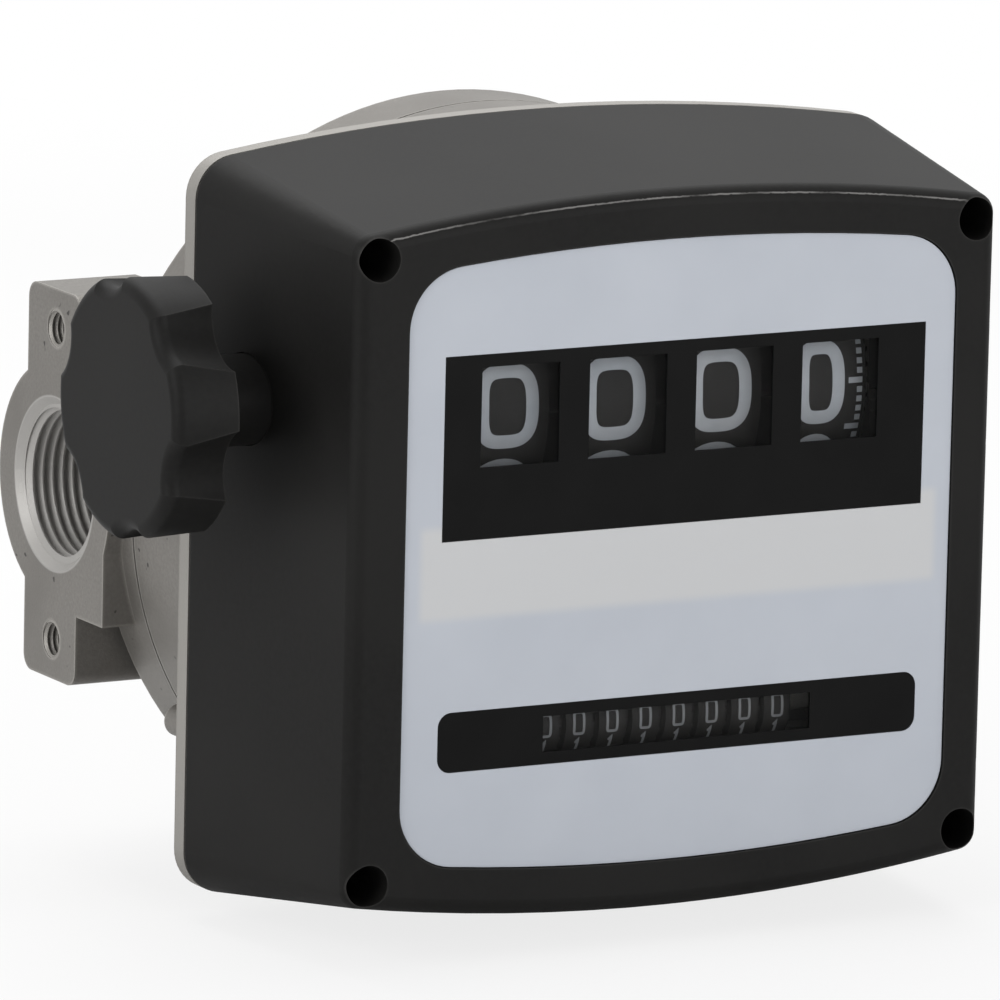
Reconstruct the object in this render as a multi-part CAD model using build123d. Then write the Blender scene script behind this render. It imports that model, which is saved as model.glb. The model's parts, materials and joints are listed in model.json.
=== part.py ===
from build123d import *
from math import atan2, cos, degrees, hypot, pi, radians, sin, sqrt, tan
import os

# Inline mechanical fuel meter: nutating disc chamber, gear train and two number wheel counters.
# Every piece is drawn about the mid plane (x = 0) and the port axis (y = z = 0), with the reader at -Y.
# On export it moves along +X, so the origin is on the port axis where the inlet's thread starts,
# just behind its lead-in chamfer. Sizes set by hand come first, and those that follow from them after.

# Clearances
RUNNING_FIT = 0.05
SCREW_TIP_GAP = 0.5
BUSH_SEAT_GAP = 0.02
SIDE_PLAY = 0.3
SLIP = 0.2
CUT_OVERRUN = 2.0

# Measuring chamber and nutating disc, centred on the port axis
CHAMBER_BORE_R = 44.4
CHAMBER_WALL = 5.6
CHAMBER_FLANGE_WIDTH = 7.2
CHAMBER_FLANGE_THICKNESS = 3.0
BALL_R = 13.0
DISC_RIM_GAP = 0.4
DISC_THICKNESS = 2.2
DISC_TILT = 13.5
DISC_PIN_R = 2.8
DISC_PIN_REACH = 6.2
DISC_SLOT_WIDTH = 4.6
DISC_GAP = 0.35
PARTITION_THICKNESS = 2.0
PARTITION_SEAT_DEPTH = 3.0
CHAMBER_WINDOW_ANGLE = 24.0
CHAMBER_WINDOW_WIDTH = 15.0
CHAMBER_WINDOW_SHARE = 0.55
CHAMBER_REACH_SHARE = 1.1
CHAMBER_THROAT_GAP = 0.6
CRANK_R = 12.5
CRANK_THICKNESS = 3.0
CRANK_HOLE_R = 4.0
CRANK_PIN_REACH = 2.5
CRANK_ROOM = 11.5
DRIVE_SHAFT_R = 2.5
BUSH_R = 5.0
BUSH_BOSS_R = 10.0
BUSH_BOSS_HEIGHT = 4.0
DRIVE_SHAFT_INSET = 1.0

# Ports and their flanges, on both ends of the body
PORT_REACH = 3.4
PORT_THREAD_R = 16.62
PORT_THREAD_LENGTH = 18.5
PORT_LEAD_IN = 1.5
PORT_STEP = 3.62
PORT_WALL = 8.78
PORT_ROOF = 2.38
FLANGE_FRONT_Y = -11.0
FLANGE_BACK_Y = 12.9
FLANGE_LENGTH = 23.0
FLANGE_CORNER_R = 3.5
FLANGE_HOLE_SPACING = 65.5
FLANGE_HOLE_R = 4.0
FLANGE_HOLE_DEPTH = 16.0
FLANGE_END = 8.25
PORT_BLOCK_LIP = 4.1
PORT_BLOCK_STEP = 0.6

# Cast housings, split across the drum
DRUM_WALL = 6.0
DRUM_BACK_WALL = 5.0
DRUM_BOSS_GAP = 2.0
PLATE_THICKNESS = 4.2
PLATE_LIP = 0.85
PLATE_RISE = 6.7
PLATE_CORNER_R = 9.0
RECESS_DEPTH = 18.4
WET_WALL_THICKNESS = 4.5
HOUSING_LIP = 4.0
CUP_GAP = 2.5
CUP_WALL = 5.5
CUP_FLOOR = 4.5
CUP_FLOOR_GAP = 1.0
CUP_EDGE_R = 5.0
GASKET_THICKNESS = 0.6
GASKET_INSET = 0.6
HOUSING_SCREW_COUNT = 6
HOUSING_SCREW_R = 3.0
HOUSING_SCREW_REACH = 9.0
HOUSING_BOSS_R = 6.0
SEAL_LUG_ANGLE = 210.2
SEAL_LUG_GAP = 1.7
SEAL_LUG_R = 3.4
SEAL_LUG_LENGTH = 13.0
BACK_RIB_COUNT = 6
BACK_RIB_ANGLE = 30.0
BACK_RIB_THICKNESS = 3.0
BACK_RIB_HEIGHT = 22.0

# Register cover, a drafted box with arched top and bottom, centred a little above the port axis
COVER_Z = 0.93
COVER_DRAFT = 7.45
COVER_FRONT_RISE = 6.0
COVER_CORNER_R = 4.0
COVER_INNER_CORNER_R = 1.5
COVER_WALL = 3.0
COVER_FRONT_WALL = 3.2
COVER_SIDE_EDGE_R = 3.5
COVER_SCREW_INSET_X = 4.65
COVER_SCREW_INSET_Z = 4.0
COVER_SCREW_R = 2.0
COVER_SCREW_REACH = 3.0
COVER_BOSS_HEIGHT = 5.0
COUNTERBORE_R = 4.35
COUNTERBORE_DEPTH = 32.0
PILLAR_R = 6.0

# Screw heads, their sockets and the cover screws' bosses, as shares of the screw's own radius
COVER_HEAD_SHARE = 1.75
COVER_SOCKET_SHARE = 0.8
COVER_BOSS_SHARE = 2.2
HOUSING_HEAD_SHARE = 1.7
HOUSING_HEAD_HEIGHT_SHARE = 1.2
HOUSING_SOCKET_SHARE = 0.9
HOUSING_SOCKET_FLOOR_SHARE = 0.5
FRAME_HEAD_SHARE = 1.8

# Label, masks and windows in the front of the cover
LABEL_X = 1.2
LABEL_SIDE_MARGIN = 10.2
LABEL_END_MARGIN = 7.55
LABEL_RISE = 4.0
LABEL_CORNER_R = 13.0
LABEL_RECESS = 1.0
LABEL_THICKNESS = 0.5
WINDOW_X = 2.0
WINDOW_MARGIN = 7.7
WINDOW_LEFT_END = 5.0
WINDOW_RIGHT_END = 7.6
WINDOW_TOP = 2.65
WINDOW_BOTTOM = 14.65
APERTURE_INSET = 1.4
APERTURE_HEIGHT = 20.4
APERTURE_RISE = 0.6
APERTURE_LEDGE = 1.5
TOTAL_WINDOW_RISE = 0.2
TOTAL_WINDOW_BORDER = 2.5
TOTAL_WINDOW_CORNER_R = 3.0
TOTAL_SLOT_X = 1.65
TOTAL_SLOT_END = 0.2
TOTAL_SLOT_SHIFT = 0.2
TOTAL_SLOT_HEIGHT = 7.4
LENS_THICKNESS = 1.8
LENS_OVERLAP = 3.0

# Resettable counter: four large number wheels on the knob's axle
WHEEL_AXIS_Z = 30.6
WHEEL_R = 31.4
WHEEL_GAP = 4.0
WHEEL_BACK_GAP = 2.1
WHEEL_FRONT_GAP = 2.5
WHEEL_COUNT = 4
WHEEL_RIM = 2.2
WHEEL_WEB = 2.0
WHEEL_HUB_R = 7.5
WHEEL_CARRY_HUB_STEP = 4.0
WHEEL_CARRY_HUB_DEPTH = 1.0
UNITS_HUB_STEP = 3.0
AXLE_R = 4.0
AXLE_BUSH_WALL = 2.0
AXLE_BUSH_FLANGE = 1.2
CARRY_TEETH = 20
CARRY_PINION_TEETH = 8
CARRY_WIDTH = 1.7
CARRY_PINION_HUB_R = 4.0
CARRY_SHAFT_ANGLE = -110.0
CARRY_SHAFT_GAP = 1.12
CARRY_SECTOR = 14.0

# Totalizer: eight small number wheels
COUNTER_SPACING = 65.6
TOTAL_WHEEL_R = 9.0
TOTAL_WHEEL_PITCH = 7.7
TOTAL_WHEEL_GAP = 1.6
TOTAL_FRONT_GAP = 2.0
TOTAL_WHEEL_COUNT = 8
TOTAL_AXLE_R = 1.5
TOTAL_CARRY_PINION_TEETH = 10
TOTAL_CARRY_WIDTH = 0.65
TOTAL_CARRY_SHAFT_ANGLE = -45.0
TOTAL_CARRY_SHAFT_R = 1.0
TOTAL_CARRY_SHAFT_GAP = 2.15
TOTAL_CARRY_PINION_WIDTH = 0.5
TOTAL_CARRY_PLAY = 0.1
TOTAL_SLEEVE_R = 3.0

# Reset knob
KNOB_GAP = 12.65
KNOB_THICKNESS = 14.0
KNOB_R = 26.8
KNOB_LOBES = 6
KNOB_NOTCH_R = 10.5
KNOB_NOTCH_DEPTH = 4.8
KNOB_FACE_NOTCH_DEPTH = 1.9
KNOB_NOTCH_ANGLE = 19.0
KNOB_EDGE_R = 2.6
KNOB_FACE_WALL = 4.0
KNOB_HUB_R = 9.3
KNOB_HUB_LENGTH = 18.0
KNOB_PIN_R = 1.5
KNOB_PIN_INSET = 4.0

# Register frame, a folded steel bracket
UNITS_GEAR_GAP = 0.7
FRAME_LEFT_GAP = 5.5
FRAME_CORNER_GAP = 3.1
FRAME_STANDOFF = 2.0
FRAME_THICKNESS = 1.6
FRAME_FRONT_GAP = 4.5
FRAME_BOTTOM_Z = -20.0
FRAME_SCREW_R = 2.0
FRAME_SCREW_INSET = 8.0
FRAME_SCREW_SIDE_INSET = 12.0
FRAME_SCREW_REACH = 2.5
FRAME_BOSS_GAP = 2.0
FRAME_SHOULDER = 12.0
FRAME_ARCH = 16.0
FRAME_NOSE = 8.0
FRAME_FOOT_DROP = 12.0
FRAME_FOOT_LENGTH = 14.0
FRAME_HEEL_REACH = 6.0
FRAME_HEEL_DROP = 8.0

# Gear train: module 1 throughout, on studs in the right side of the frame
GEAR_MODULE = 1.0
GEAR_WIDTH = 3.0
GEAR_PLANE_GAP = 0.8
STUD_R = 1.5
FIRST_HUB_R = 3.5
SECOND_HUB_R = 5.0
PINION_TEETH = 10
FIRST_GEAR_TEETH = 40
SECOND_GEAR_TEETH = 50
UNITS_GEAR_TEETH = 50
TOTAL_FIRST_TEETH = 14
TOTAL_LAY_TEETH = 42
TOTAL_PINION_TEETH = 12
TOTAL_GEAR_TEETH = 20
BEVEL_TEETH = 12
BEVEL_FACE = 3.0
BEVEL_STANDOFF = 12.0
BEVEL_HUB_STEP = 1.2
FIRST_STUD_ANGLE = 246.4
TOOTH_FILL = 0.41
ADDENDUM = 0.8
DEDENDUM = 1.15

# Inlet strainer and calibration screw
STRAINER_STEP = 1.92
STRAINER_THICKNESS = 1.2
STRAINER_RINGS = 3
STRAINER_RING_PITCH = 3.6
STRAINER_HOLE_R = 1.4
BYPASS_WEB_WIDTH = 12.0
BYPASS_R = 1.0
BYPASS_Y = 14.0
CALIBRATION_OFFSET = 4.6
CALIBRATION_SCREW_R = 3.0
CALIBRATION_SCREW_END_Y = 12.0
CALIBRATION_SLOT_DEPTH = 1.0
CALIBRATION_SLOT_WIDTH = 1.2
CALIBRATION_BOSS_R = 6.0
CALIBRATION_BOSS_HEIGHT = 3.0
CALIBRATION_CAP_THICKNESS = 2.5
CALIBRATION_CAP_EDGE_R = 1.0

# Radii that follow from the chamber outwards, and the reach of the ports
CHAMBER_R = CHAMBER_BORE_R + CHAMBER_WALL
CUP_R = CHAMBER_R + CUP_GAP + CUP_WALL
CHAMBER_FLANGE_R = CUP_R - CUP_WALL + CHAMBER_FLANGE_WIDTH
HOUSING_SCREW_PITCH_R = CHAMBER_FLANGE_R + SIDE_PLAY + HOUSING_BOSS_R
DRUM_R = HOUSING_SCREW_PITCH_R + HOUSING_BOSS_R + DRUM_BOSS_GAP + DRUM_WALL
HALF_SPAN = DRUM_R + PORT_REACH
DISC_R = CHAMBER_BORE_R - DISC_RIM_GAP
CALIBRATION_Z = CHAMBER_R + CALIBRATION_OFFSET
PORT_DEPTH = PORT_LEAD_IN + PORT_THREAD_LENGTH
PORT_PASSAGE_R = PORT_THREAD_R - PORT_STEP
PORT_BOSS_R = PORT_THREAD_R + PORT_WALL
PORT_BLOCK_HALF_HEIGHT = PORT_BOSS_R + PORT_BLOCK_STEP
STRAINER_SEAT_R = PORT_THREAD_R - STRAINER_STEP
FLANGE_HALF_HEIGHT = FLANGE_HOLE_SPACING / 2 + FLANGE_END

# Depths in the housings, from the ports to the front
CHAMBER_SEAT_Y = -PORT_THREAD_R - PORT_ROOF
CHAMBER_HALF_LENGTH = CHAMBER_FLANGE_THICKNESS - CHAMBER_SEAT_Y
CUP_BACK_Y = CHAMBER_HALF_LENGTH + CUP_FLOOR_GAP + CUP_FLOOR
DRUM_BACK_Y = CHAMBER_SEAT_Y + DRUM_BACK_WALL
PORT_BLOCK_FRONT_Y = CHAMBER_SEAT_Y - PORT_BLOCK_LIP
WET_WALL_BACK_Y = -CHAMBER_HALF_LENGTH - CRANK_ROOM
WET_WALL_Y = WET_WALL_BACK_Y - WET_WALL_THICKNESS
DRUM_SPLIT_Y = WET_WALL_BACK_Y + HOUSING_LIP
PLATE_Y = WET_WALL_Y - RECESS_DEPTH
PLATE_BACK_Y = PLATE_Y + PLATE_THICKNESS
COVER_BACK_Y = PLATE_Y - GASKET_THICKNESS
DISC_PIN_END_Y = -CHAMBER_HALF_LENGTH - DISC_PIN_REACH
DISC_PIN_LENGTH = -DISC_PIN_END_Y / cos(radians(DISC_TILT))
CRANK_BACK_Y = DISC_PIN_END_Y + CRANK_PIN_REACH

# Depths in the register, from the frame's web to the front of the cover
FRAME_WEB_BACK_Y = WET_WALL_Y - FRAME_STANDOFF
FRAME_WEB_FRONT_Y = FRAME_WEB_BACK_Y - FRAME_THICKNESS
BEVEL_APEX_Y = WET_WALL_Y - BEVEL_STANDOFF
WHEEL_AXIS_Y = FRAME_WEB_FRONT_Y - WHEEL_BACK_GAP - WHEEL_R
LENS_BACK_Y = WHEEL_AXIS_Y - WHEEL_R - WHEEL_FRONT_GAP
TOTAL_AXIS_Y = LENS_BACK_Y + TOTAL_FRONT_GAP + TOTAL_WHEEL_R
FRAME_FRONT_Y = LENS_BACK_Y + FRAME_FRONT_GAP
COVER_INSIDE_Y = LENS_BACK_Y - LENS_THICKNESS
COVER_FRONT_Y = COVER_INSIDE_Y - COVER_FRONT_WALL
LABEL_SEAT_Y = COVER_FRONT_Y + LABEL_RECESS

# Outlines that follow from the drum: plate, cover, label and windows
PLATE_HALF_WIDTH = DRUM_R + PLATE_LIP
PLATE_HALF_HEIGHT = DRUM_R + COVER_Z + PLATE_LIP - PLATE_RISE
COVER_FRONT_HALF_WIDTH = PLATE_HALF_WIDTH - COVER_DRAFT
COVER_FRONT_HALF_HEIGHT = PLATE_HALF_HEIGHT - COVER_DRAFT
COVER_SCREW_X = COVER_FRONT_HALF_WIDTH - COVER_SCREW_INSET_X
COVER_SCREW_Z = COVER_FRONT_HALF_HEIGHT - COVER_SCREW_INSET_Z
LABEL_HALF_WIDTH = COVER_FRONT_HALF_WIDTH - LABEL_SIDE_MARGIN
LABEL_HALF_HEIGHT = COVER_FRONT_HALF_HEIGHT - LABEL_END_MARGIN
APERTURE_Z = WHEEL_AXIS_Z + APERTURE_RISE
COUNTER_WINDOW_WIDTH = 2 * (LABEL_HALF_WIDTH - WINDOW_MARGIN)
COUNTER_WINDOW_HEIGHT = APERTURE_HEIGHT + WINDOW_TOP + WINDOW_BOTTOM
COUNTER_WINDOW_Z = APERTURE_Z + (WINDOW_TOP - WINDOW_BOTTOM) / 2
TOTAL_AXIS_Z = WHEEL_AXIS_Z - COUNTER_SPACING
TOTAL_WINDOW_Z = TOTAL_AXIS_Z + TOTAL_WINDOW_RISE
TOTAL_WINDOW_HEIGHT = TOTAL_SLOT_HEIGHT + 2 * TOTAL_WINDOW_BORDER
TOTAL_SLOT_WIDTH = TOTAL_WHEEL_COUNT * TOTAL_WHEEL_PITCH + 2 * TOTAL_SLOT_END
TOTAL_WHEEL_RIGHT_X = TOTAL_SLOT_X + TOTAL_SLOT_SHIFT + (TOTAL_WHEEL_COUNT - 1) / 2 * TOTAL_WHEEL_PITCH
TOTAL_WHEEL_WIDTH = TOTAL_WHEEL_PITCH - TOTAL_WHEEL_GAP

# Widths that follow from the windows: number wheels, frame and knob
WHEEL_PITCH = (COUNTER_WINDOW_WIDTH - WINDOW_LEFT_END - WINDOW_RIGHT_END) / WHEEL_COUNT
WHEEL_WIDTH = WHEEL_PITCH - WHEEL_GAP
APERTURE_WIDTH = WHEEL_WIDTH - 2 * APERTURE_INSET
APERTURE_RIGHT_X = WINDOW_X + COUNTER_WINDOW_WIDTH / 2 - WINDOW_RIGHT_END - WHEEL_PITCH / 2
APERTURE_LEFT_X = APERTURE_RIGHT_X - (WHEEL_COUNT - 1) * WHEEL_PITCH
FRAME_LEFT_X = APERTURE_LEFT_X - WHEEL_WIDTH / 2 - FRAME_LEFT_GAP
INNER_PLANE_X = APERTURE_RIGHT_X + WHEEL_WIDTH / 2 + UNITS_GEAR_GAP
FRAME_RIGHT_X = INNER_PLANE_X + GEAR_WIDTH + GEAR_PLANE_GAP + FRAME_THICKNESS
FRAME_TOP_Z = sqrt((DRUM_R - DRUM_WALL - FRAME_CORNER_GAP) ** 2 - FRAME_RIGHT_X ** 2)
FRAME_SCREW_X = -FRAME_LEFT_X - FRAME_SCREW_SIDE_INSET
KNOB_BACK_X = -PLATE_HALF_WIDTH - KNOB_GAP
KNOB_FACE_X = KNOB_BACK_X - KNOB_THICKNESS
KNOB_HUB_END_X = KNOB_BACK_X + KNOB_HUB_LENGTH
CARRY_MODULE = 2 * (WHEEL_R + CARRY_SHAFT_GAP + TOTAL_AXLE_R) / (CARRY_TEETH + CARRY_PINION_TEETH)
TOTAL_CARRY_MODULE = 2 * (TOTAL_WHEEL_R + TOTAL_CARRY_SHAFT_GAP + TOTAL_CARRY_SHAFT_R) / (
    CARRY_TEETH + TOTAL_CARRY_PINION_TEETH)


def face_at_y(y):
    """Sketch plane across the meter at depth y: u = X, v = Z, facing the reader."""
    return Plane(origin=(0, y, 0), x_dir=(1, 0, 0), z_dir=(0, -1, 0))


def face_at_x(x):
    """Sketch plane across the axles at x: u = Y, v = Z, facing +X."""
    return Plane(origin=(x, 0, 0), x_dir=(0, 1, 0), z_dir=(1, 0, 0))


def slab_y(profile, y_front, y_back):
    """A flat profile in X and Z, from y_front back to y_back."""
    return extrude(face_at_y(y_front) * profile, y_back - y_front, dir=(0, 1, 0))


def slab_x(profile, x_left, x_right):
    """A flat profile in Y and Z, from x_left to x_right."""
    return extrude(face_at_x(x_left) * profile, x_right - x_left, dir=(1, 0, 0))


def rod_y(radius, y_front, y_back, x=0.0, z=0.0):
    """A round bar along Y."""
    return slab_y(Pos(x, z) * Circle(radius), y_front, y_back)


def rod_x(radius, x_left, x_right, y=0.0, z=0.0):
    """A round bar along X."""
    return slab_x(Pos(y, z) * Circle(radius), x_left, x_right)


def tube_x(outer_r, inner_r, x_left, x_right, y=0.0, z=0.0):
    """A round tube along X."""
    return rod_x(outer_r, x_left, x_right, y, z) - rod_x(inner_r, x_left, x_right, y, z)


def tube_y(outer_r, inner_r, y_front, y_back, x=0.0, z=0.0):
    """A round tube along Y."""
    return rod_y(outer_r, y_front, y_back, x, z) - rod_y(inner_r, y_front, y_back, x, z)


def polar(radius, angle):
    """The point at this radius and angle in degrees."""
    return (radius * cos(radians(angle)), radius * sin(radians(angle)))


def arched_outline(half_width, half_height, rise, corner_r):
    """Straight sides with arched top and bottom and rounded corners."""
    w, h = half_width, half_height
    edges = [
        Line((-w, -h), (-w, h)),
        ThreePointArc((-w, h), (0, h + rise), (w, h)),
        Line((w, h), (w, -h)),
        ThreePointArc((w, -h), (0, -h - rise), (-w, -h)),
    ]
    outline = make_face(edges)
    return fillet(outline.vertices(), corner_r)


def gear_face(teeth, module, phase=0.0):
    """Outline of a spur gear with straight flanks, one tooth centred on the angle phase."""
    pitch_r = module * teeth / 2
    half_tooth = TOOTH_FILL * pi * module / 2
    slope = tan(radians(20))
    corners = []
    for height, side in ((-DEDENDUM, -1), (ADDENDUM, -1), (ADDENDUM, 1), (-DEDENDUM, 1)):
        r = pitch_r + height * module
        half_width = half_tooth - height * module * slope
        corners.append((r, side * degrees(half_width / r)))
    points = []
    for tooth in range(teeth):
        for r, turn in corners:
            points.append(polar(r, phase + tooth * 360 / teeth + turn))
    return make_face(Polyline(*points, close=True))


def pitch_r(teeth, module=GEAR_MODULE):
    """Pitch radius of a gear."""
    return module * teeth / 2


def third_corner(a, b, from_a, from_b, side):
    """The point at the two distances from a and b, to the left (+1) or right (-1) of a to b."""
    span = hypot(b[0] - a[0], b[1] - a[1])
    along = (from_a ** 2 - from_b ** 2 + span ** 2) / (2 * span)
    off = side * sqrt(from_a ** 2 - along ** 2)
    ux, uy = (b[0] - a[0]) / span, (b[1] - a[1]) / span
    return (a[0] + along * ux - off * uy, a[1] + along * uy + off * ux)


def heading(a, b):
    """Direction from a to b in degrees."""
    return degrees(atan2(b[1] - a[1], b[0] - a[0]))


def tooth_towards(a, b):
    """Phase that centres a tooth of the gear at a on the line to b."""
    return heading(a, b)


def gap_towards(a, b, teeth):
    """Phase that centres a tooth gap of the gear at a on the line to b."""
    return heading(a, b) + 180 / teeth


# Places of the gear shafts in Y and Z
BEVEL_SHAFT = (BEVEL_APEX_Y, 0.0)
WHEEL_AXIS = (WHEEL_AXIS_Y, WHEEL_AXIS_Z)
TOTAL_AXIS = (TOTAL_AXIS_Y, TOTAL_AXIS_Z)
FIRST_REACH = polar(pitch_r(PINION_TEETH + FIRST_GEAR_TEETH), FIRST_STUD_ANGLE)
FIRST_SHAFT = (BEVEL_SHAFT[0] + FIRST_REACH[0], BEVEL_SHAFT[1] + FIRST_REACH[1])
SECOND_SHAFT = third_corner(
    FIRST_SHAFT, WHEEL_AXIS, pitch_r(PINION_TEETH + SECOND_GEAR_TEETH),
    pitch_r(PINION_TEETH + UNITS_GEAR_TEETH), 1)
LAY_SHAFT = third_corner(
    SECOND_SHAFT, TOTAL_AXIS, pitch_r(TOTAL_FIRST_TEETH + TOTAL_LAY_TEETH),
    pitch_r(TOTAL_PINION_TEETH + TOTAL_GEAR_TEETH), 1)
CARRY_REACH = polar(pitch_r(CARRY_TEETH + CARRY_PINION_TEETH, CARRY_MODULE), CARRY_SHAFT_ANGLE)
CARRY_SHAFT = (WHEEL_AXIS_Y + CARRY_REACH[0], WHEEL_AXIS_Z + CARRY_REACH[1])
TOTAL_CARRY_REACH = polar(
    pitch_r(CARRY_TEETH + TOTAL_CARRY_PINION_TEETH, TOTAL_CARRY_MODULE), TOTAL_CARRY_SHAFT_ANGLE)
TOTAL_CARRY_SHAFT = (TOTAL_AXIS_Y + TOTAL_CARRY_REACH[0], TOTAL_AXIS_Z + TOTAL_CARRY_REACH[1])


def outer_plane_x(step):
    """Left side of the gears in this plane outside the frame's right side, numbered from 0."""
    return FRAME_RIGHT_X + GEAR_PLANE_GAP + step * (GEAR_WIDTH + GEAR_PLANE_GAP)


def gear_x(teeth, x_left, centre, phase, width=GEAR_WIDTH, module=GEAR_MODULE):
    """A spur gear on an axle along X."""
    return slab_x(Pos(*centre) * gear_face(teeth, module, phase), x_left, x_left + width)


def cover_share(y):
    """How far y lies from the cover's front (0) to its back (1)."""
    return (y - COVER_FRONT_Y) / (COVER_BACK_Y - COVER_FRONT_Y)


def cover_outline(y, inset=0.0):
    """Cross section of the drafted cover at depth y, moved in by inset."""
    share = cover_share(y)
    half_width = COVER_FRONT_HALF_WIDTH + share * (PLATE_HALF_WIDTH - COVER_FRONT_HALF_WIDTH)
    half_height = COVER_FRONT_HALF_HEIGHT + share * (PLATE_HALF_HEIGHT - COVER_FRONT_HALF_HEIGHT)
    rise = COVER_FRONT_RISE + share * (PLATE_RISE - COVER_FRONT_RISE)
    corner_r = COVER_CORNER_R + share * (PLATE_CORNER_R - COVER_CORNER_R)
    inner_corner_r = max(corner_r - inset, COVER_INNER_CORNER_R)
    outline = arched_outline(half_width - inset, half_height - inset, rise, inner_corner_r)
    return face_at_y(y) * Pos(0, COVER_Z) * outline


def cover_screw_places():
    """Centres of the four cover screws in X and Z."""
    return [(sx * COVER_SCREW_X, COVER_Z + sz * COVER_SCREW_Z) for sx in (-1, 1) for sz in (-1, 1)]


def label_outline(gap=0.0):
    """Outline of the label, smaller by gap all round."""
    outline = arched_outline(LABEL_HALF_WIDTH - gap, LABEL_HALF_HEIGHT - gap, LABEL_RISE, LABEL_CORNER_R)
    return Pos(LABEL_X, COVER_Z) * outline


def counter_window(grow=0.0):
    """The black field round the large digits."""
    return Pos(WINDOW_X, COUNTER_WINDOW_Z) * Rectangle(
        COUNTER_WINDOW_WIDTH + 2 * grow, COUNTER_WINDOW_HEIGHT + 2 * grow)


def total_window(grow=0.0):
    """The black field round the small digits."""
    return Pos(WINDOW_X, TOTAL_WINDOW_Z) * RectangleRounded(
        COUNTER_WINDOW_WIDTH + 2 * grow, TOTAL_WINDOW_HEIGHT + 2 * grow, TOTAL_WINDOW_CORNER_R)


def wheel_centre_x(place):
    """Middle of the large wheel at this decimal place, 0 for units at the right."""
    return APERTURE_RIGHT_X - place * WHEEL_PITCH


def total_wheel_x(place):
    """Middle of the small wheel at this decimal place, 0 for units at the right."""
    return TOTAL_WHEEL_RIGHT_X - place * TOTAL_WHEEL_PITCH


def apertures():
    """Clear openings over the large wheels."""
    return [Pos(wheel_centre_x(k), APERTURE_Z) * Rectangle(APERTURE_WIDTH, APERTURE_HEIGHT)
            for k in range(WHEEL_COUNT)]


def total_slot(grow=0.0):
    """Clear opening over the small wheels."""
    return Pos(TOTAL_SLOT_X, TOTAL_WINDOW_Z) * Rectangle(
        TOTAL_SLOT_WIDTH + 2 * grow, TOTAL_SLOT_HEIGHT + 2 * grow)


def counter_opening(grow=0.0):
    """Opening in the cover's front wall behind the large apertures."""
    middle = (APERTURE_LEFT_X + APERTURE_RIGHT_X) / 2
    width = (WHEEL_COUNT - 1) * WHEEL_PITCH + APERTURE_WIDTH + 2 * APERTURE_LEDGE
    height = APERTURE_HEIGHT + 2 * APERTURE_LEDGE
    return Pos(middle, APERTURE_Z) * Rectangle(width + 2 * grow, height + 2 * grow)


def front_cover():
    """Drafted black cover with screw pillars, label recess, window openings and knob hole."""
    shell = loft([cover_outline(COVER_FRONT_Y), cover_outline(COVER_BACK_Y)], ruled=True)
    front_edges = shell.edges().group_by(Axis.Y)[0].sort_by(Axis.X)
    shell = fillet([front_edges[0], front_edges[-1]], COVER_SIDE_EDGE_R)
    shell -= loft([cover_outline(COVER_INSIDE_Y, COVER_WALL), cover_outline(COVER_BACK_Y, COVER_WALL)],
                  ruled=True)
    for x, z in cover_screw_places():
        shell += rod_y(PILLAR_R, COVER_INSIDE_Y - SLIP, COVER_BACK_Y, x, z) & pillar_limit()
    for x, z in cover_screw_places():
        shell -= rod_y(COUNTERBORE_R, COVER_FRONT_Y, COVER_FRONT_Y + COUNTERBORE_DEPTH, x, z)
        shell -= rod_y(COVER_SCREW_R + SLIP, COVER_FRONT_Y, COVER_BACK_Y, x, z)
    shell -= slab_y(label_outline(), COVER_FRONT_Y, LABEL_SEAT_Y)
    shell -= slab_y(counter_opening(), COVER_FRONT_Y, COVER_INSIDE_Y)
    shell -= slab_y(total_slot(APERTURE_LEDGE), COVER_FRONT_Y, COVER_INSIDE_Y)
    shell -= rod_x(KNOB_HUB_R + SLIP, -PLATE_HALF_WIDTH, -PLATE_HALF_WIDTH / 2, *WHEEL_AXIS)
    return shell


def pillar_limit():
    """Space inside the cover's outer skin, which the pillars must not leave."""
    return loft([cover_outline(COVER_FRONT_Y, SLIP), cover_outline(COVER_BACK_Y, SLIP)], ruled=True)


def cover_gasket():
    """Thin ring between the cover and the plate."""
    return slab_y(plate_outline(GASKET_INSET), COVER_BACK_Y, PLATE_Y) - slab_y(
        plate_outline(COVER_WALL), COVER_BACK_Y, PLATE_Y)


def cover_screws():
    """Four socket head screws at the bottom of the counterbores."""
    head_y = COVER_FRONT_Y + COUNTERBORE_DEPTH
    screws = []
    for x, z in cover_screw_places():
        screw = rod_y(COVER_HEAD_SHARE * COVER_SCREW_R, head_y - 2 * COVER_SCREW_R, head_y, x, z)
        screw += rod_y(COVER_SCREW_R, head_y, PLATE_BACK_Y + COVER_SCREW_REACH, x, z)
        screw -= slab_y(Pos(x, z) * RegularPolygon(COVER_SOCKET_SHARE * COVER_SCREW_R, 6),
                        head_y - 2 * COVER_SCREW_R, head_y - COVER_SCREW_R)
        screws.append(screw)
    return Compound(screws)


def face_label():
    """Thin printed label in the recess, open over the two black fields."""
    label = slab_y(label_outline(SLIP), LABEL_SEAT_Y - LABEL_THICKNESS, LABEL_SEAT_Y)
    label -= slab_y(counter_window(), LABEL_SEAT_Y - LABEL_THICKNESS, LABEL_SEAT_Y)
    label -= slab_y(total_window(), LABEL_SEAT_Y - LABEL_THICKNESS, LABEL_SEAT_Y)
    return label


def counter_mask():
    """Black mask with a clear aperture for each large wheel."""
    mask = slab_y(counter_window(-SLIP / 2), LABEL_SEAT_Y - LABEL_THICKNESS, LABEL_SEAT_Y)
    for aperture in apertures():
        mask -= slab_y(aperture, LABEL_SEAT_Y - LABEL_THICKNESS, LABEL_SEAT_Y)
    return mask


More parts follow.
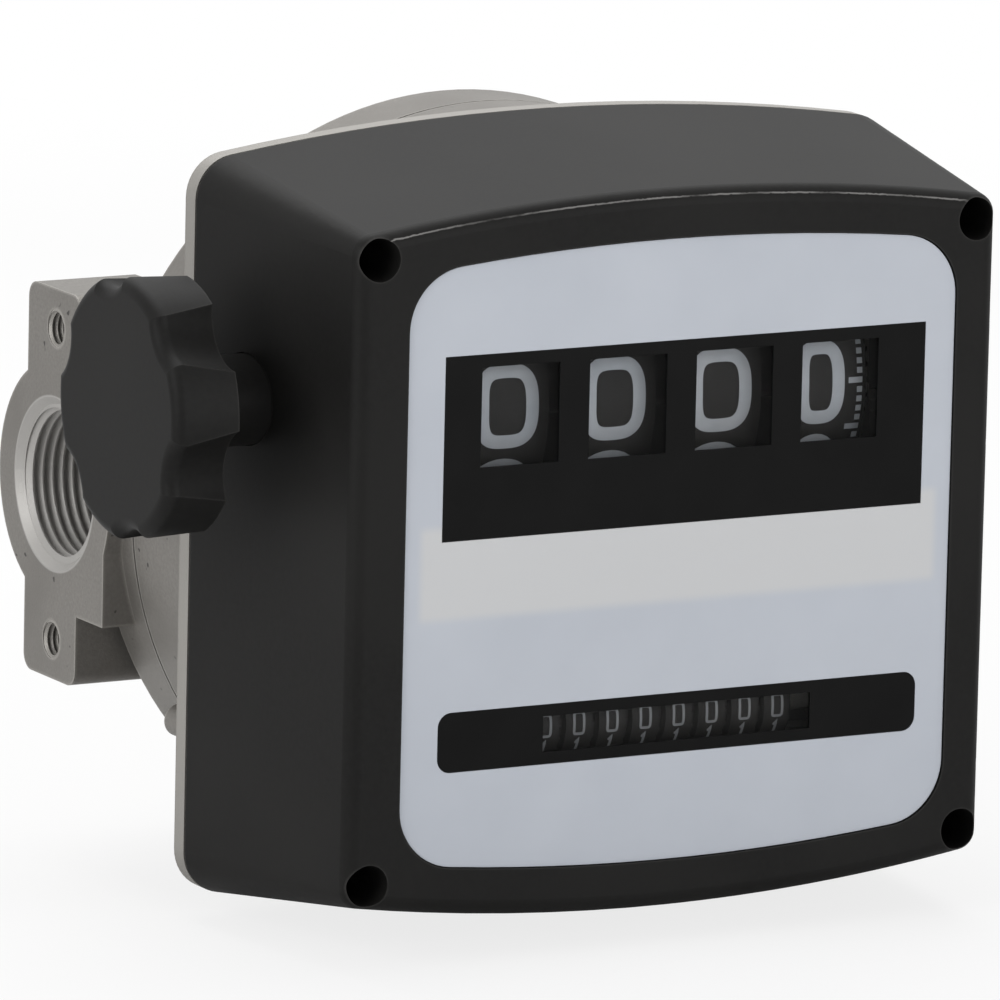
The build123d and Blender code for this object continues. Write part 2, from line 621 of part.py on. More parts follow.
def totalizer_mask():
    """Black mask with one slot for the small wheels."""
    mask = slab_y(total_window(-SLIP / 2), LABEL_SEAT_Y - LABEL_THICKNESS, LABEL_SEAT_Y)
    return mask - slab_y(total_slot(), LABEL_SEAT_Y - LABEL_THICKNESS, LABEL_SEAT_Y)


def stepped_lens(opening, flange):
    """Clear window that fills an opening from behind and rests on the inside of the cover."""
    lens = slab_y(flange, COVER_INSIDE_Y, COVER_INSIDE_Y + LENS_THICKNESS)
    return lens + slab_y(opening, LABEL_SEAT_Y, COVER_INSIDE_Y)


def counter_lens():
    """Window over the large wheels."""
    return stepped_lens(counter_opening(-SLIP), counter_opening(LENS_OVERLAP))


def totalizer_lens():
    """Window over the small wheels."""
    return stepped_lens(total_slot(APERTURE_LEDGE - SLIP), total_slot(LENS_OVERLAP))


def plate_outline(inset=0.0):
    """Outline of the plate, the same as the cover's back, smaller by inset all round."""
    return Pos(0, COVER_Z) * arched_outline(
        PLATE_HALF_WIDTH - inset, PLATE_HALF_HEIGHT - inset, PLATE_RISE, PLATE_CORNER_R - inset)


def housing_screw_places():
    """Centres of the screws that hold the two housings together."""
    return [polar(HOUSING_SCREW_PITCH_R, k * 360 / HOUSING_SCREW_COUNT) for k in range(HOUSING_SCREW_COUNT)]


def frame_screw_places():
    """Centres of the screws that hold the register frame to the wet wall."""
    heights = (FRAME_BOTTOM_Z + FRAME_SCREW_INSET, FRAME_TOP_Z - FRAME_SCREW_INSET)
    return [(sx * FRAME_SCREW_X, z) for sx in (-1, 1) for z in heights]


def front_housing():
    """Cast plate and drum front with the wall that keeps the fuel out of the register."""
    body = slab_y(plate_outline(), PLATE_Y, PLATE_BACK_Y)
    body += rod_y(DRUM_R, PLATE_BACK_Y, DRUM_SPLIT_Y)
    body -= rod_y(DRUM_R - DRUM_WALL, PLATE_Y, WET_WALL_Y)
    body -= rod_y(DRUM_R - DRUM_WALL, WET_WALL_BACK_Y, DRUM_SPLIT_Y)
    body += rod_y(BUSH_BOSS_R, WET_WALL_Y - BUSH_BOSS_HEIGHT, WET_WALL_Y)
    body -= rod_y(BUSH_R, WET_WALL_Y - BUSH_BOSS_HEIGHT, WET_WALL_BACK_Y)
    for x, z in frame_screw_places():
        body += rod_y(2 * FRAME_SCREW_R, FRAME_WEB_BACK_Y, WET_WALL_Y, x, z)
        body -= rod_y(FRAME_SCREW_R, FRAME_WEB_BACK_Y, WET_WALL_Y + FRAME_SCREW_REACH + SCREW_TIP_GAP, x, z)
    for x, z in housing_screw_places():
        body += rod_y(HOUSING_BOSS_R, WET_WALL_BACK_Y, DRUM_SPLIT_Y, x, z)
        body -= rod_y(HOUSING_SCREW_R + SLIP, WET_WALL_Y, DRUM_SPLIT_Y, x, z)
    for x, z in cover_screw_places():
        boss_r = COVER_BOSS_SHARE * COVER_SCREW_R
        body += rod_y(boss_r, PLATE_BACK_Y, PLATE_BACK_Y + COVER_BOSS_HEIGHT, x, z)
        body -= rod_y(COVER_SCREW_R, PLATE_Y, PLATE_BACK_Y + COVER_SCREW_REACH + SCREW_TIP_GAP, x, z)
    lug_place = polar(DRUM_R + SEAL_LUG_GAP + SEAL_LUG_R, SEAL_LUG_ANGLE)
    return body + rod_y(SEAL_LUG_R, PLATE_BACK_Y, PLATE_BACK_Y + SEAL_LUG_LENGTH, *lug_place)


def housing_gasket():
    """Flat ring between the two housings."""
    return tube_y(DRUM_R - SLIP, DRUM_R - DRUM_WALL + SLIP, DRUM_SPLIT_Y, DRUM_SPLIT_Y + GASKET_THICKNESS)


def housing_screws():
    """Screws from the register side into the rear housing's bosses."""
    head_y = WET_WALL_Y - HOUSING_HEAD_HEIGHT_SHARE * HOUSING_SCREW_R
    socket_y = WET_WALL_Y - HOUSING_SOCKET_FLOOR_SHARE * HOUSING_SCREW_R
    screws = []
    for x, z in housing_screw_places():
        screw = rod_y(HOUSING_HEAD_SHARE * HOUSING_SCREW_R, head_y, WET_WALL_Y, x, z)
        screw += rod_y(HOUSING_SCREW_R, WET_WALL_Y, DRUM_SPLIT_Y + HOUSING_SCREW_REACH, x, z)
        socket = RegularPolygon(HOUSING_SOCKET_SHARE * HOUSING_SCREW_R, 6)
        screw -= slab_y(Pos(x, z) * socket, head_y, socket_y)
        screws.append(screw)
    return Compound(screws)


def port_solid(side):
    """Flange, block and round boss of one port: side is -1 for the inlet and 1 for the outlet."""
    mouth = side * HALF_SPAN
    inner = side * (HALF_SPAN - FLANGE_LENGTH)
    low, high = min(mouth, inner), max(mouth, inner)
    depth = FLANGE_BACK_Y - FLANGE_FRONT_Y
    flange = Pos((FLANGE_FRONT_Y + FLANGE_BACK_Y) / 2, 0) * RectangleRounded(
        depth, 2 * FLANGE_HALF_HEIGHT, FLANGE_CORNER_R)
    solid = slab_x(flange, low, high)
    block = Pos(PORT_BLOCK_FRONT_Y / 2, 0) * Rectangle(-PORT_BLOCK_FRONT_Y, 2 * PORT_BLOCK_HALF_HEIGHT)
    solid += slab_x(block, low, high)
    boss_end = side * (CUP_R - CUP_WALL)
    solid += rod_x(PORT_BOSS_R, min(mouth, boss_end), max(mouth, boss_end))
    return solid


def port_cut(side):
    """Threaded mouth, passage and flange holes of one port."""
    mouth = side * HALF_SPAN
    thread_end = side * (HALF_SPAN - PORT_DEPTH)
    passage_end = side * CHAMBER_R
    cut = rod_x(PORT_THREAD_R, min(mouth, thread_end), max(mouth, thread_end))
    cut += rod_x(PORT_PASSAGE_R, min(mouth, passage_end), max(mouth, passage_end))
    lead = Plane(origin=(mouth, 0, 0), x_dir=(0, 1, 0), z_dir=(-side, 0, 0))
    wide = lead * Circle(PORT_THREAD_R + PORT_LEAD_IN)
    cut += extrude(wide, PORT_LEAD_IN, taper=45)
    hole_end = side * (HALF_SPAN - FLANGE_HOLE_DEPTH)
    for z in (-FLANGE_HOLE_SPACING / 2, FLANGE_HOLE_SPACING / 2):
        cut += rod_x(FLANGE_HOLE_R, min(mouth, hole_end), max(mouth, hole_end), 0, z)
    return cut


def rear_housing():
    """Cast drum back with the chamber cup and both ports."""
    body = rod_y(DRUM_R, DRUM_SPLIT_Y + GASKET_THICKNESS, DRUM_BACK_Y)
    cup = rod_y(CUP_R, DRUM_BACK_Y, CUP_BACK_Y)
    body += fillet(cup.edges().group_by(Axis.Y)[-1], CUP_EDGE_R)
    for side in (-1, 1):
        body += port_solid(side)
    body -= rod_y(DRUM_R - DRUM_WALL, DRUM_SPLIT_Y, CHAMBER_SEAT_Y)
    for x, z in housing_screw_places():
        body += rod_y(HOUSING_BOSS_R, DRUM_SPLIT_Y + GASKET_THICKNESS, CHAMBER_SEAT_Y, x, z)
        body -= rod_y(HOUSING_SCREW_R, DRUM_SPLIT_Y, DRUM_SPLIT_Y + HOUSING_SCREW_REACH + SCREW_TIP_GAP, x, z)
    body -= rod_y(CUP_R - CUP_WALL, CHAMBER_SEAT_Y, CUP_BACK_Y - CUP_FLOOR)
    for sz in (-1, 1):
        web = Pos(0, sz * (CHAMBER_R + CUP_R) / 2) * Rectangle(BYPASS_WEB_WIDTH, CUP_R - CHAMBER_R)
        body += slab_y(web, CHAMBER_SEAT_Y, CUP_BACK_Y - CUP_FLOOR) - rod_y(
            CHAMBER_R + SLIP, CHAMBER_SEAT_Y, CUP_BACK_Y)
    for side in (-1, 1):
        body -= port_cut(side)
    seat_x = PORT_DEPTH - HALF_SPAN
    body -= rod_x(STRAINER_SEAT_R, seat_x, seat_x + STRAINER_THICKNESS)
    body += back_ribs()
    boss_y = CUP_BACK_Y + CALIBRATION_BOSS_HEIGHT
    body += rod_y(CALIBRATION_BOSS_R, CUP_BACK_Y - CUP_FLOOR, boss_y, 0, CALIBRATION_Z)
    body -= rod_y(CALIBRATION_SCREW_R + RUNNING_FIT, CALIBRATION_SCREW_END_Y, boss_y, 0, CALIBRATION_Z)
    bypass_z = CALIBRATION_Z - CALIBRATION_SCREW_R
    body -= slab_x(Pos(BYPASS_Y, bypass_z) * Circle(BYPASS_R), -BYPASS_WEB_WIDTH, BYPASS_WEB_WIDTH)
    return body


def back_ribs():
    """Radial ribs between the cup and the back of the drum."""
    inner, outer = CUP_R - CUP_WALL / 2, DRUM_R - DRUM_WALL
    foot_y = DRUM_BACK_Y - DRUM_BACK_WALL / 2
    ribs = []
    for k in range(BACK_RIB_COUNT):
        side, step = divmod(k, BACK_RIB_COUNT // 2)
        angle = 90 + 180 * side + (step - 1) * BACK_RIB_ANGLE
        profile = Polygon((inner, foot_y), (outer, foot_y), (outer, DRUM_BACK_Y),
                          (inner, DRUM_BACK_Y + BACK_RIB_HEIGHT), align=None)
        rib = extrude(profile, BACK_RIB_THICKNESS / 2, both=True)
        ribs.append(Rot(0, -angle, 0) * rib)
    return ribs


def drive_bush():
    """Flanged bush for the drive shaft in the wet wall."""
    return tube_y(BUSH_R - BUSH_SEAT_GAP, DRIVE_SHAFT_R + RUNNING_FIT,
                  WET_WALL_Y - BUSH_BOSS_HEIGHT, WET_WALL_BACK_Y)


def drive_shaft():
    """Shaft from the crank to the first bevel gear."""
    return rod_y(DRIVE_SHAFT_R, BEVEL_APEX_Y + pitch_r(BEVEL_TEETH) - DRIVE_SHAFT_INSET, CRANK_BACK_Y)


def crank_arm():
    """Round crank on the shaft's wet end, with the hole that follows the disc's pin."""
    front_y = CRANK_BACK_Y - CRANK_THICKNESS
    arm = rod_y(CRANK_R, front_y, CRANK_BACK_Y)
    offset = (DISC_PIN_LENGTH - CRANK_PIN_REACH / 2) * sin(radians(DISC_TILT))
    arm -= rod_y(CRANK_HOLE_R, front_y, CRANK_BACK_Y, offset, 0)
    return arm - rod_y(DRIVE_SHAFT_R, front_y, CRANK_BACK_Y)


def bevel_tooth_ring(phase):
    """Straight bevel gear with its apex at the origin and its axis along +X."""
    outer_r = pitch_r(BEVEL_TEETH)
    large = Plane.YZ.offset(outer_r) * gear_face(BEVEL_TEETH, GEAR_MODULE, phase)
    share = 1 - BEVEL_FACE / outer_r
    small = Plane.YZ.offset(outer_r * share) * gear_face(BEVEL_TEETH, GEAR_MODULE * share, phase)
    return loft([small, large], ruled=True)


def lay_bevel():
    """Bevel gear and lay shaft that carry the drive to the right side of the frame."""
    gear = Pos(0, *BEVEL_SHAFT) * bevel_tooth_ring(gap_phase())
    back_x = pitch_r(BEVEL_TEETH)
    gear += rod_x(back_x - BEVEL_HUB_STEP, back_x, back_x + GEAR_WIDTH, *BEVEL_SHAFT)
    pinion_x = outer_plane_x(0)
    gear += rod_x(STUD_R, back_x + GEAR_WIDTH, pinion_x, *BEVEL_SHAFT)
    gear += gear_x(PINION_TEETH, pinion_x, BEVEL_SHAFT, tooth_towards(BEVEL_SHAFT, FIRST_SHAFT))
    return gear


def gap_phase():
    """Phase that puts a tooth gap of the lay bevel where the drive bevel has a tooth."""
    return 180 / BEVEL_TEETH


def drive_bevel():
    """Bevel gear on the front end of the drive shaft."""
    ring = bevel_tooth_ring(0.0)
    gear = Pos(0, *BEVEL_SHAFT) * Rot(0, 0, 90) * ring
    back_y = BEVEL_APEX_Y + pitch_r(BEVEL_TEETH)
    hub_y = back_y + GEAR_WIDTH / 2
    gear += rod_y(pitch_r(BEVEL_TEETH) - BEVEL_HUB_STEP, back_y, hub_y)
    return gear - rod_y(DRIVE_SHAFT_R, BEVEL_APEX_Y, hub_y)


def frame_side_outline():
    """Outline of the frame's side plates in Y and Z."""
    corners = [
        (FRAME_WEB_BACK_Y, FRAME_BOTTOM_Z),
        (FRAME_WEB_BACK_Y, FRAME_TOP_Z),
        (FRAME_WEB_FRONT_Y - FRAME_SHOULDER, FRAME_TOP_Z),
        (WHEEL_AXIS_Y, WHEEL_AXIS_Z + FRAME_ARCH),
        (FRAME_FRONT_Y + FRAME_NOSE, WHEEL_AXIS_Z),
        (FRAME_FRONT_Y, TOTAL_AXIS_Z + FRAME_NOSE),
        (FRAME_FRONT_Y, TOTAL_AXIS_Z - FRAME_FOOT_DROP),
        (TOTAL_AXIS_Y + FRAME_FOOT_LENGTH, TOTAL_AXIS_Z - FRAME_FOOT_DROP),
        (FIRST_SHAFT[0] + FRAME_HEEL_REACH, FIRST_SHAFT[1] - FRAME_HEEL_DROP),
    ]
    return make_face(Polyline(*corners, close=True))


def register_frame():
    """Folded bracket that carries both counters and the gear train."""
    web = Pos((FRAME_LEFT_X + FRAME_RIGHT_X) / 2, (FRAME_TOP_Z + FRAME_BOTTOM_Z) / 2) * Rectangle(
        FRAME_RIGHT_X - FRAME_LEFT_X, FRAME_TOP_Z - FRAME_BOTTOM_Z)
    frame = slab_y(web, FRAME_WEB_FRONT_Y, FRAME_WEB_BACK_Y)
    frame -= rod_y(BUSH_BOSS_R + FRAME_BOSS_GAP, FRAME_WEB_FRONT_Y, FRAME_WEB_BACK_Y)
    for x, z in frame_screw_places():
        frame -= rod_y(FRAME_SCREW_R + SLIP, FRAME_WEB_FRONT_Y, FRAME_WEB_BACK_Y, x, z)
    side = frame_side_outline()
    left = slab_x(side, FRAME_LEFT_X, FRAME_LEFT_X + FRAME_THICKNESS)
    right = slab_x(side, FRAME_RIGHT_X - FRAME_THICKNESS, FRAME_RIGHT_X)
    frame += [left, right]
    across = (FRAME_LEFT_X, FRAME_RIGHT_X)
    frame -= rod_x(AXLE_R + AXLE_BUSH_WALL, *across, *WHEEL_AXIS)
    for place in (TOTAL_AXIS, CARRY_SHAFT):
        frame -= rod_x(TOTAL_AXLE_R, *across, *place)
    frame -= rod_x(TOTAL_CARRY_SHAFT_R, *across, *TOTAL_CARRY_SHAFT)
    right_only = (FRAME_RIGHT_X - FRAME_THICKNESS, FRAME_RIGHT_X)
    for place in (BEVEL_SHAFT, SECOND_SHAFT, LAY_SHAFT):
        frame -= rod_x(STUD_R + RUNNING_FIT, *right_only, *place)
    frame -= rod_x(STUD_R, *right_only, *FIRST_SHAFT)
    return frame


def frame_screws():
    """Screws that hold the frame to the wet wall."""
    head_y = FRAME_WEB_FRONT_Y
    screws = []
    for x, z in frame_screw_places():
        screw = rod_y(FRAME_HEAD_SHARE * FRAME_SCREW_R, head_y - FRAME_SCREW_R, head_y, x, z)
        screws.append(screw + rod_y(FRAME_SCREW_R, head_y, WET_WALL_Y + FRAME_SCREW_REACH, x, z))
    return Compound(screws)


def axle_bushes():
    """Flanged bushes of the counter axle, one in each side of the frame."""
    bushes = []
    for x, side in ((FRAME_LEFT_X, 1), (FRAME_RIGHT_X, -1)):
        inside = x + side * (FRAME_THICKNESS + GEAR_PLANE_GAP - SIDE_PLAY)
        outside = x - side * AXLE_BUSH_FLANGE
        bush = rod_x(AXLE_R + AXLE_BUSH_WALL, min(x, inside), max(x, inside), *WHEEL_AXIS)
        bush += rod_x(AXLE_R + 2 * AXLE_BUSH_WALL, min(x, outside), max(x, outside), *WHEEL_AXIS)
        bush -= rod_x(AXLE_R + RUNNING_FIT, min(inside, outside), max(inside, outside), *WHEEL_AXIS)
        bushes.append(bush)
    return Compound(bushes)


def drum_axle():
    """Axle that the knob turns and the large wheels ride on."""
    right_end = FRAME_RIGHT_X + 2 * AXLE_BUSH_FLANGE
    axle = rod_x(AXLE_R, KNOB_FACE_X + KNOB_FACE_WALL, right_end, *WHEEL_AXIS)
    return axle - pin_hole(KNOB_HUB_R)


def knob_outline(notch_depth):
    """Round outline with shallow notches between the lobes."""
    outline = Pos(*WHEEL_AXIS) * Circle(KNOB_R)
    reach = KNOB_R - notch_depth + KNOB_NOTCH_R
    for k in range(KNOB_LOBES):
        place = polar(reach, KNOB_NOTCH_ANGLE + k * 360 / KNOB_LOBES)
        outline -= Pos(*WHEEL_AXIS) * Pos(*place) * Circle(KNOB_NOTCH_R)
    return outline


def reset_knob():
    """Lobed knob, its notches deeper towards the back, with the hub that enters the cover."""
    face = face_at_x(KNOB_FACE_X) * knob_outline(KNOB_FACE_NOTCH_DEPTH)
    back = face_at_x(KNOB_BACK_X) * knob_outline(KNOB_NOTCH_DEPTH)
    grip = loft([face, back], ruled=True)
    grip = fillet(grip.edges().group_by(Axis.X)[0], KNOB_EDGE_R)
    knob = grip + rod_x(KNOB_HUB_R, KNOB_BACK_X, KNOB_HUB_END_X, *WHEEL_AXIS)
    knob -= rod_x(AXLE_R, KNOB_FACE_X + KNOB_FACE_WALL, KNOB_HUB_END_X, *WHEEL_AXIS)
    return knob - pin_hole(KNOB_HUB_R + SIDE_PLAY)


def pin_hole(half_length):
    """Cross bore for the pin through hub and axle."""
    low = Plane.XY.offset(WHEEL_AXIS_Z - half_length)
    pin_x = KNOB_BACK_X + KNOB_PIN_INSET
    return extrude(low * Pos(pin_x, WHEEL_AXIS_Y) * Circle(KNOB_PIN_R), 2 * half_length)


def knob_pin():
    """Spring pin through the knob's hub and the axle."""
    return pin_hole(KNOB_HUB_R - SIDE_PLAY)


def number_wheel(place):
    """Large number wheel: rim, web, hub, carry gear on its right and carry teeth on its left."""
    middle = wheel_centre_x(place)
    left, right = middle - WHEEL_WIDTH / 2, middle + WHEEL_WIDTH / 2
    wheel = tube_x(WHEEL_R, WHEEL_R - WHEEL_RIM, left, right, *WHEEL_AXIS)
    wheel += rod_x(WHEEL_R - WHEEL_RIM / 2, right - WHEEL_WEB, right, *WHEEL_AXIS)
    gap = WHEEL_PITCH - WHEEL_WIDTH
    wheel += rod_x(WHEEL_HUB_R, left - gap / 2 + SIDE_PLAY / 2, right + gap / 2 - SIDE_PLAY / 2, *WHEEL_AXIS)
    if place > 0:
        phase = gap_towards(WHEEL_AXIS, CARRY_SHAFT, CARRY_TEETH)
        wheel += gear_x(CARRY_TEETH, right, WHEEL_AXIS, phase, CARRY_WIDTH, CARRY_MODULE)
    if place < WHEEL_COUNT - 1:
        wheel += carry_disc(left - CARRY_WIDTH, left, WHEEL_AXIS, CARRY_MODULE)
        hub_right = left + WHEEL_CARRY_HUB_DEPTH
        wheel += rod_x(WHEEL_HUB_R + WHEEL_CARRY_HUB_STEP, left - CARRY_WIDTH, hub_right, *WHEEL_AXIS)
    if place == 0:
        wheel += units_gear(right)
    return wheel - rod_x(AXLE_R + RUNNING_FIT, left - gap, right + gap + GEAR_WIDTH, *WHEEL_AXIS)


def carry_disc(x_left, x_right, centre, module):
    """Locking disc with the two carry teeth."""
    inner_r = pitch_r(CARRY_TEETH, module) - DEDENDUM * module
    disc = rod_x(inner_r, x_left, x_right, *centre)
    teeth = gear_face(CARRY_TEETH, module)
    reach = 2 * inner_r
    sector = Polygon((0, 0), polar(reach, -CARRY_SECTOR), polar(reach, CARRY_SECTOR), align=None)
    return disc + slab_x(Pos(*centre) * (teeth & sector), x_left, x_right)


def units_gear(wheel_right):
    """Gear on the right of the units wheel, driven by the second shaft."""
    phase = gap_towards(WHEEL_AXIS, SECOND_SHAFT, UNITS_GEAR_TEETH)
    gear = gear_x(UNITS_GEAR_TEETH, INNER_PLANE_X, WHEEL_AXIS, phase)
    return gear + rod_x(WHEEL_HUB_R + UNITS_HUB_STEP, wheel_right, INNER_PLANE_X, *WHEEL_AXIS)


def carry_pinion(place):
    """Transfer pinion between the wheel at this place and the next higher one."""
    left = wheel_centre_x(place + 1) + WHEEL_WIDTH / 2 + SIDE_PLAY
    right = wheel_centre_x(place) - WHEEL_WIDTH / 2 - SIDE_PLAY
    phase = tooth_towards(CARRY_SHAFT, WHEEL_AXIS)
    pinion = gear_x(CARRY_PINION_TEETH, left, CARRY_SHAFT, phase, CARRY_WIDTH - SLIP, CARRY_MODULE)
    pinion += rod_x(CARRY_PINION_HUB_R, left, right, *CARRY_SHAFT)
    return pinion - rod_x(TOTAL_AXLE_R + RUNNING_FIT, left, right, *CARRY_SHAFT)


def carry_shaft():
    """Fixed shaft of the large transfer pinions."""
    return rod_x(TOTAL_AXLE_R, FRAME_LEFT_X, FRAME_RIGHT_X, *CARRY_SHAFT)


def total_wheel(place):
    """Small number wheel with its carry gear and carry teeth."""
    middle = total_wheel_x(place)
    left, right = middle - TOTAL_WHEEL_WIDTH / 2, middle + TOTAL_WHEEL_WIDTH / 2
    wheel = rod_x(TOTAL_WHEEL_R, left, right, *TOTAL_AXIS)
    if place > 0:
        phase = gap_towards(TOTAL_AXIS, TOTAL_CARRY_SHAFT, CARRY_TEETH)
        wheel += gear_x(CARRY_TEETH, right, TOTAL_AXIS, phase, TOTAL_CARRY_WIDTH, TOTAL_CARRY_MODULE)
    if place < TOTAL_WHEEL_COUNT - 1:
        wheel += carry_disc(left - TOTAL_CARRY_WIDTH, left, TOTAL_AXIS, TOTAL_CARRY_MODULE)
    return wheel - rod_x(TOTAL_AXLE_R + RUNNING_FIT, left - CUT_OVERRUN, right + CUT_OVERRUN, *TOTAL_AXIS)


def totalizer_input():
    """Sleeve and gear that drive the small units wheel."""
    left = total_wheel_x(0) + TOTAL_WHEEL_WIDTH / 2
    phase = gap_towards(TOTAL_AXIS, LAY_SHAFT, TOTAL_GEAR_TEETH)
    part = rod_x(TOTAL_SLEEVE_R, left, INNER_PLANE_X, *TOTAL_AXIS)
    part += gear_x(TOTAL_GEAR_TEETH, INNER_PLANE_X, TOTAL_AXIS, phase)
    return part - rod_x(TOTAL_AXLE_R + RUNNING_FIT, left, INNER_PLANE_X + GEAR_WIDTH, *TOTAL_AXIS)


def total_carry_pinion(place):
    """Small transfer pinion between two totalizer wheels."""
    left = total_wheel_x(place + 1) + TOTAL_WHEEL_WIDTH / 2 + TOTAL_CARRY_PLAY
    right = total_wheel_x(place) - TOTAL_WHEEL_WIDTH / 2 - TOTAL_CARRY_PLAY
    phase = tooth_towards(TOTAL_CARRY_SHAFT, TOTAL_AXIS)
    pinion = gear_x(TOTAL_CARRY_PINION_TEETH, left, TOTAL_CARRY_SHAFT, phase,
                    TOTAL_CARRY_PINION_WIDTH, TOTAL_CARRY_MODULE)
    return pinion - rod_x(TOTAL_CARRY_SHAFT_R + RUNNING_FIT, left, right, *TOTAL_CARRY_SHAFT)


def totalizer_carry_shaft():
    """Fixed shaft of the small transfer pinions."""
    return rod_x(TOTAL_CARRY_SHAFT_R, FRAME_LEFT_X, FRAME_RIGHT_X, *TOTAL_CARRY_SHAFT)


def totalizer_axle():
    """Fixed axle of the small wheels."""
    return rod_x(TOTAL_AXLE_R, FRAME_LEFT_X, FRAME_RIGHT_X, *TOTAL_AXIS)


def first_stud():
    """Fixed stud of the first compound gear."""
    return rod_x(STUD_R, FRAME_RIGHT_X - FRAME_THICKNESS, outer_plane_x(2), *FIRST_SHAFT)


def first_gear():
    """Compound gear on the first stud."""
    phase = gap_towards(FIRST_SHAFT, BEVEL_SHAFT, FIRST_GEAR_TEETH)
    part = gear_x(FIRST_GEAR_TEETH, outer_plane_x(0), FIRST_SHAFT, phase)
    hub = outer_plane_x(0) + GEAR_WIDTH
    part += rod_x(FIRST_HUB_R, hub, outer_plane_x(1), *FIRST_SHAFT)
    part += gear_x(PINION_TEETH, outer_plane_x(1), FIRST_SHAFT, tooth_towards(FIRST_SHAFT, SECOND_SHAFT))
    return part - rod_x(STUD_R + RUNNING_FIT, FRAME_RIGHT_X, outer_plane_x(2), *FIRST_SHAFT)


def second_gear():
    """Shaft through the frame with the units pinion inside and two gears outside."""
    inner_phase = tooth_towards(SECOND_SHAFT, WHEEL_AXIS)
    part = gear_x(PINION_TEETH, INNER_PLANE_X, SECOND_SHAFT, inner_phase)
    part += rod_x(STUD_R, INNER_PLANE_X + GEAR_WIDTH, outer_plane_x(1), *SECOND_SHAFT)
    phase = gap_towards(SECOND_SHAFT, FIRST_SHAFT, SECOND_GEAR_TEETH)
    part += gear_x(SECOND_GEAR_TEETH, outer_plane_x(1), SECOND_SHAFT, phase)
    part += rod_x(SECOND_HUB_R, outer_plane_x(1) + GEAR_WIDTH, outer_plane_x(2), *SECOND_SHAFT)
    lay_phase = tooth_towards(SECOND_SHAFT, LAY_SHAFT)
    return part + gear_x(TOTAL_FIRST_TEETH, outer_plane_x(2), SECOND_SHAFT, lay_phase)


def lay_gear():
    """Shaft that takes the drive back inside the frame to the totalizer."""
    phase = gap_towards(LAY_SHAFT, SECOND_SHAFT, TOTAL_LAY_TEETH)
    part = gear_x(TOTAL_LAY_TEETH, outer_plane_x(2), LAY_SHAFT, phase)
    part += rod_x(STUD_R, INNER_PLANE_X + GEAR_WIDTH, outer_plane_x(2), *LAY_SHAFT)
    inner_phase = tooth_towards(LAY_SHAFT, TOTAL_AXIS)
    return part + gear_x(TOTAL_PINION_TEETH, INNER_PLANE_X, LAY_SHAFT, inner_phase)


def chamber_space():
    """The space swept by the nutating disc, with the ball sockets."""
    rise = tan(radians(DISC_TILT))
    offset = DISC_THICKNESS / 2 / cos(radians(DISC_TILT)) + DISC_GAP
    reach = CHAMBER_REACH_SHARE * CHAMBER_BORE_R
    profile = Polygon((0, -offset), (reach, -offset - rise * reach), (reach, offset + rise * reach),
                      (0, offset), align=None)
    space = revolve(profile, Axis.Y) & Sphere(CHAMBER_BORE_R)
    return space + Sphere(BALL_R + RUNNING_FIT)


def chamber_windows():
    """Inlet and outlet windows, one each side of the partition."""
    cuts = []
    for side in (-1, 1):
        angle = -90 + side * CHAMBER_WINDOW_ANGLE
        height = 2 * CHAMBER_HALF_LENGTH * CHAMBER_WINDOW_SHARE
        window = Box(4 * CHAMBER_WALL, height, CHAMBER_WINDOW_WIDTH)
        cuts.append(Rot(0, -angle, 0) * Pos(CHAMBER_R, 0, 0) * window)
    return cuts


def chamber_front_half():
    """Front half of the measuring chamber, with its flange and the hole for the disc's pin."""
    half = rod_y(CHAMBER_R, -CHAMBER_HALF_LENGTH, 0)
    half += rod_y(CHAMBER_FLANGE_R, -CHAMBER_HALF_LENGTH, CHAMBER_SEAT_Y)
    half -= chamber_space()
    half -= chamber_windows()
    half -= partition_slot()
    spread = tan(radians(DISC_TILT))
    throat = DISC_PIN_R / cos(radians(DISC_TILT)) + CHAMBER_THROAT_GAP
    mouth = Polygon((0, 0), (throat, 0), (throat + spread * CHAMBER_HALF_LENGTH, -CHAMBER_HALF_LENGTH),
                    (0, -CHAMBER_HALF_LENGTH), align=None)
    return half - revolve(mouth, Axis.Y)


def chamber_rear_half():
    """Rear half of the measuring chamber."""
    half = rod_y(CHAMBER_R, 0, CHAMBER_HALF_LENGTH)
    half -= chamber_space()
    half -= chamber_windows()
    return half - partition_slot()


def partition_profile(gap):
    """Outline of the partition plate in Y and Z, from the ball to the chamber wall."""
    rise = tan(radians(DISC_TILT))
    grow = PARTITION_SEAT_DEPTH - gap
    low = -CHAMBER_BORE_R - grow
    high = -BALL_R - SIDE_PLAY
    return Polygon((-grow - rise * -high, high), (grow + rise * -high, high),
                   (grow + rise * -low, low), (-grow - rise * -low, low), align=None)


def partition_slot():
    """Slot in the chamber halves that holds the partition plate."""
    profile = partition_profile(0.0)
    return slab_x(profile, -PARTITION_THICKNESS / 2 - SLIP / 2, PARTITION_THICKNESS / 2 + SLIP / 2)


def partition_plate():
    """Fixed plate between the chamber's inlet and outlet, which the disc's slot straddles."""
    return slab_x(partition_profile(SLIP), -PARTITION_THICKNESS / 2, PARTITION_THICKNESS / 2)


def nutating_disc():
    """Ball, disc and pin in one moulding, tilted in the chamber."""
    disc = rod_y(DISC_R + CUT_OVERRUN, -DISC_THICKNESS / 2, DISC_THICKNESS / 2) & Sphere(DISC_R)
    slot = Pos(0, 0, -DISC_R) * Box(DISC_SLOT_WIDTH, 2 * DISC_THICKNESS, 2 * (DISC_R - BALL_R))
    part = disc - slot + Sphere(BALL_R)
    part += rod_y(DISC_PIN_R, -DISC_PIN_LENGTH, 0)
    return Rot(0, 0, DISC_TILT) * part


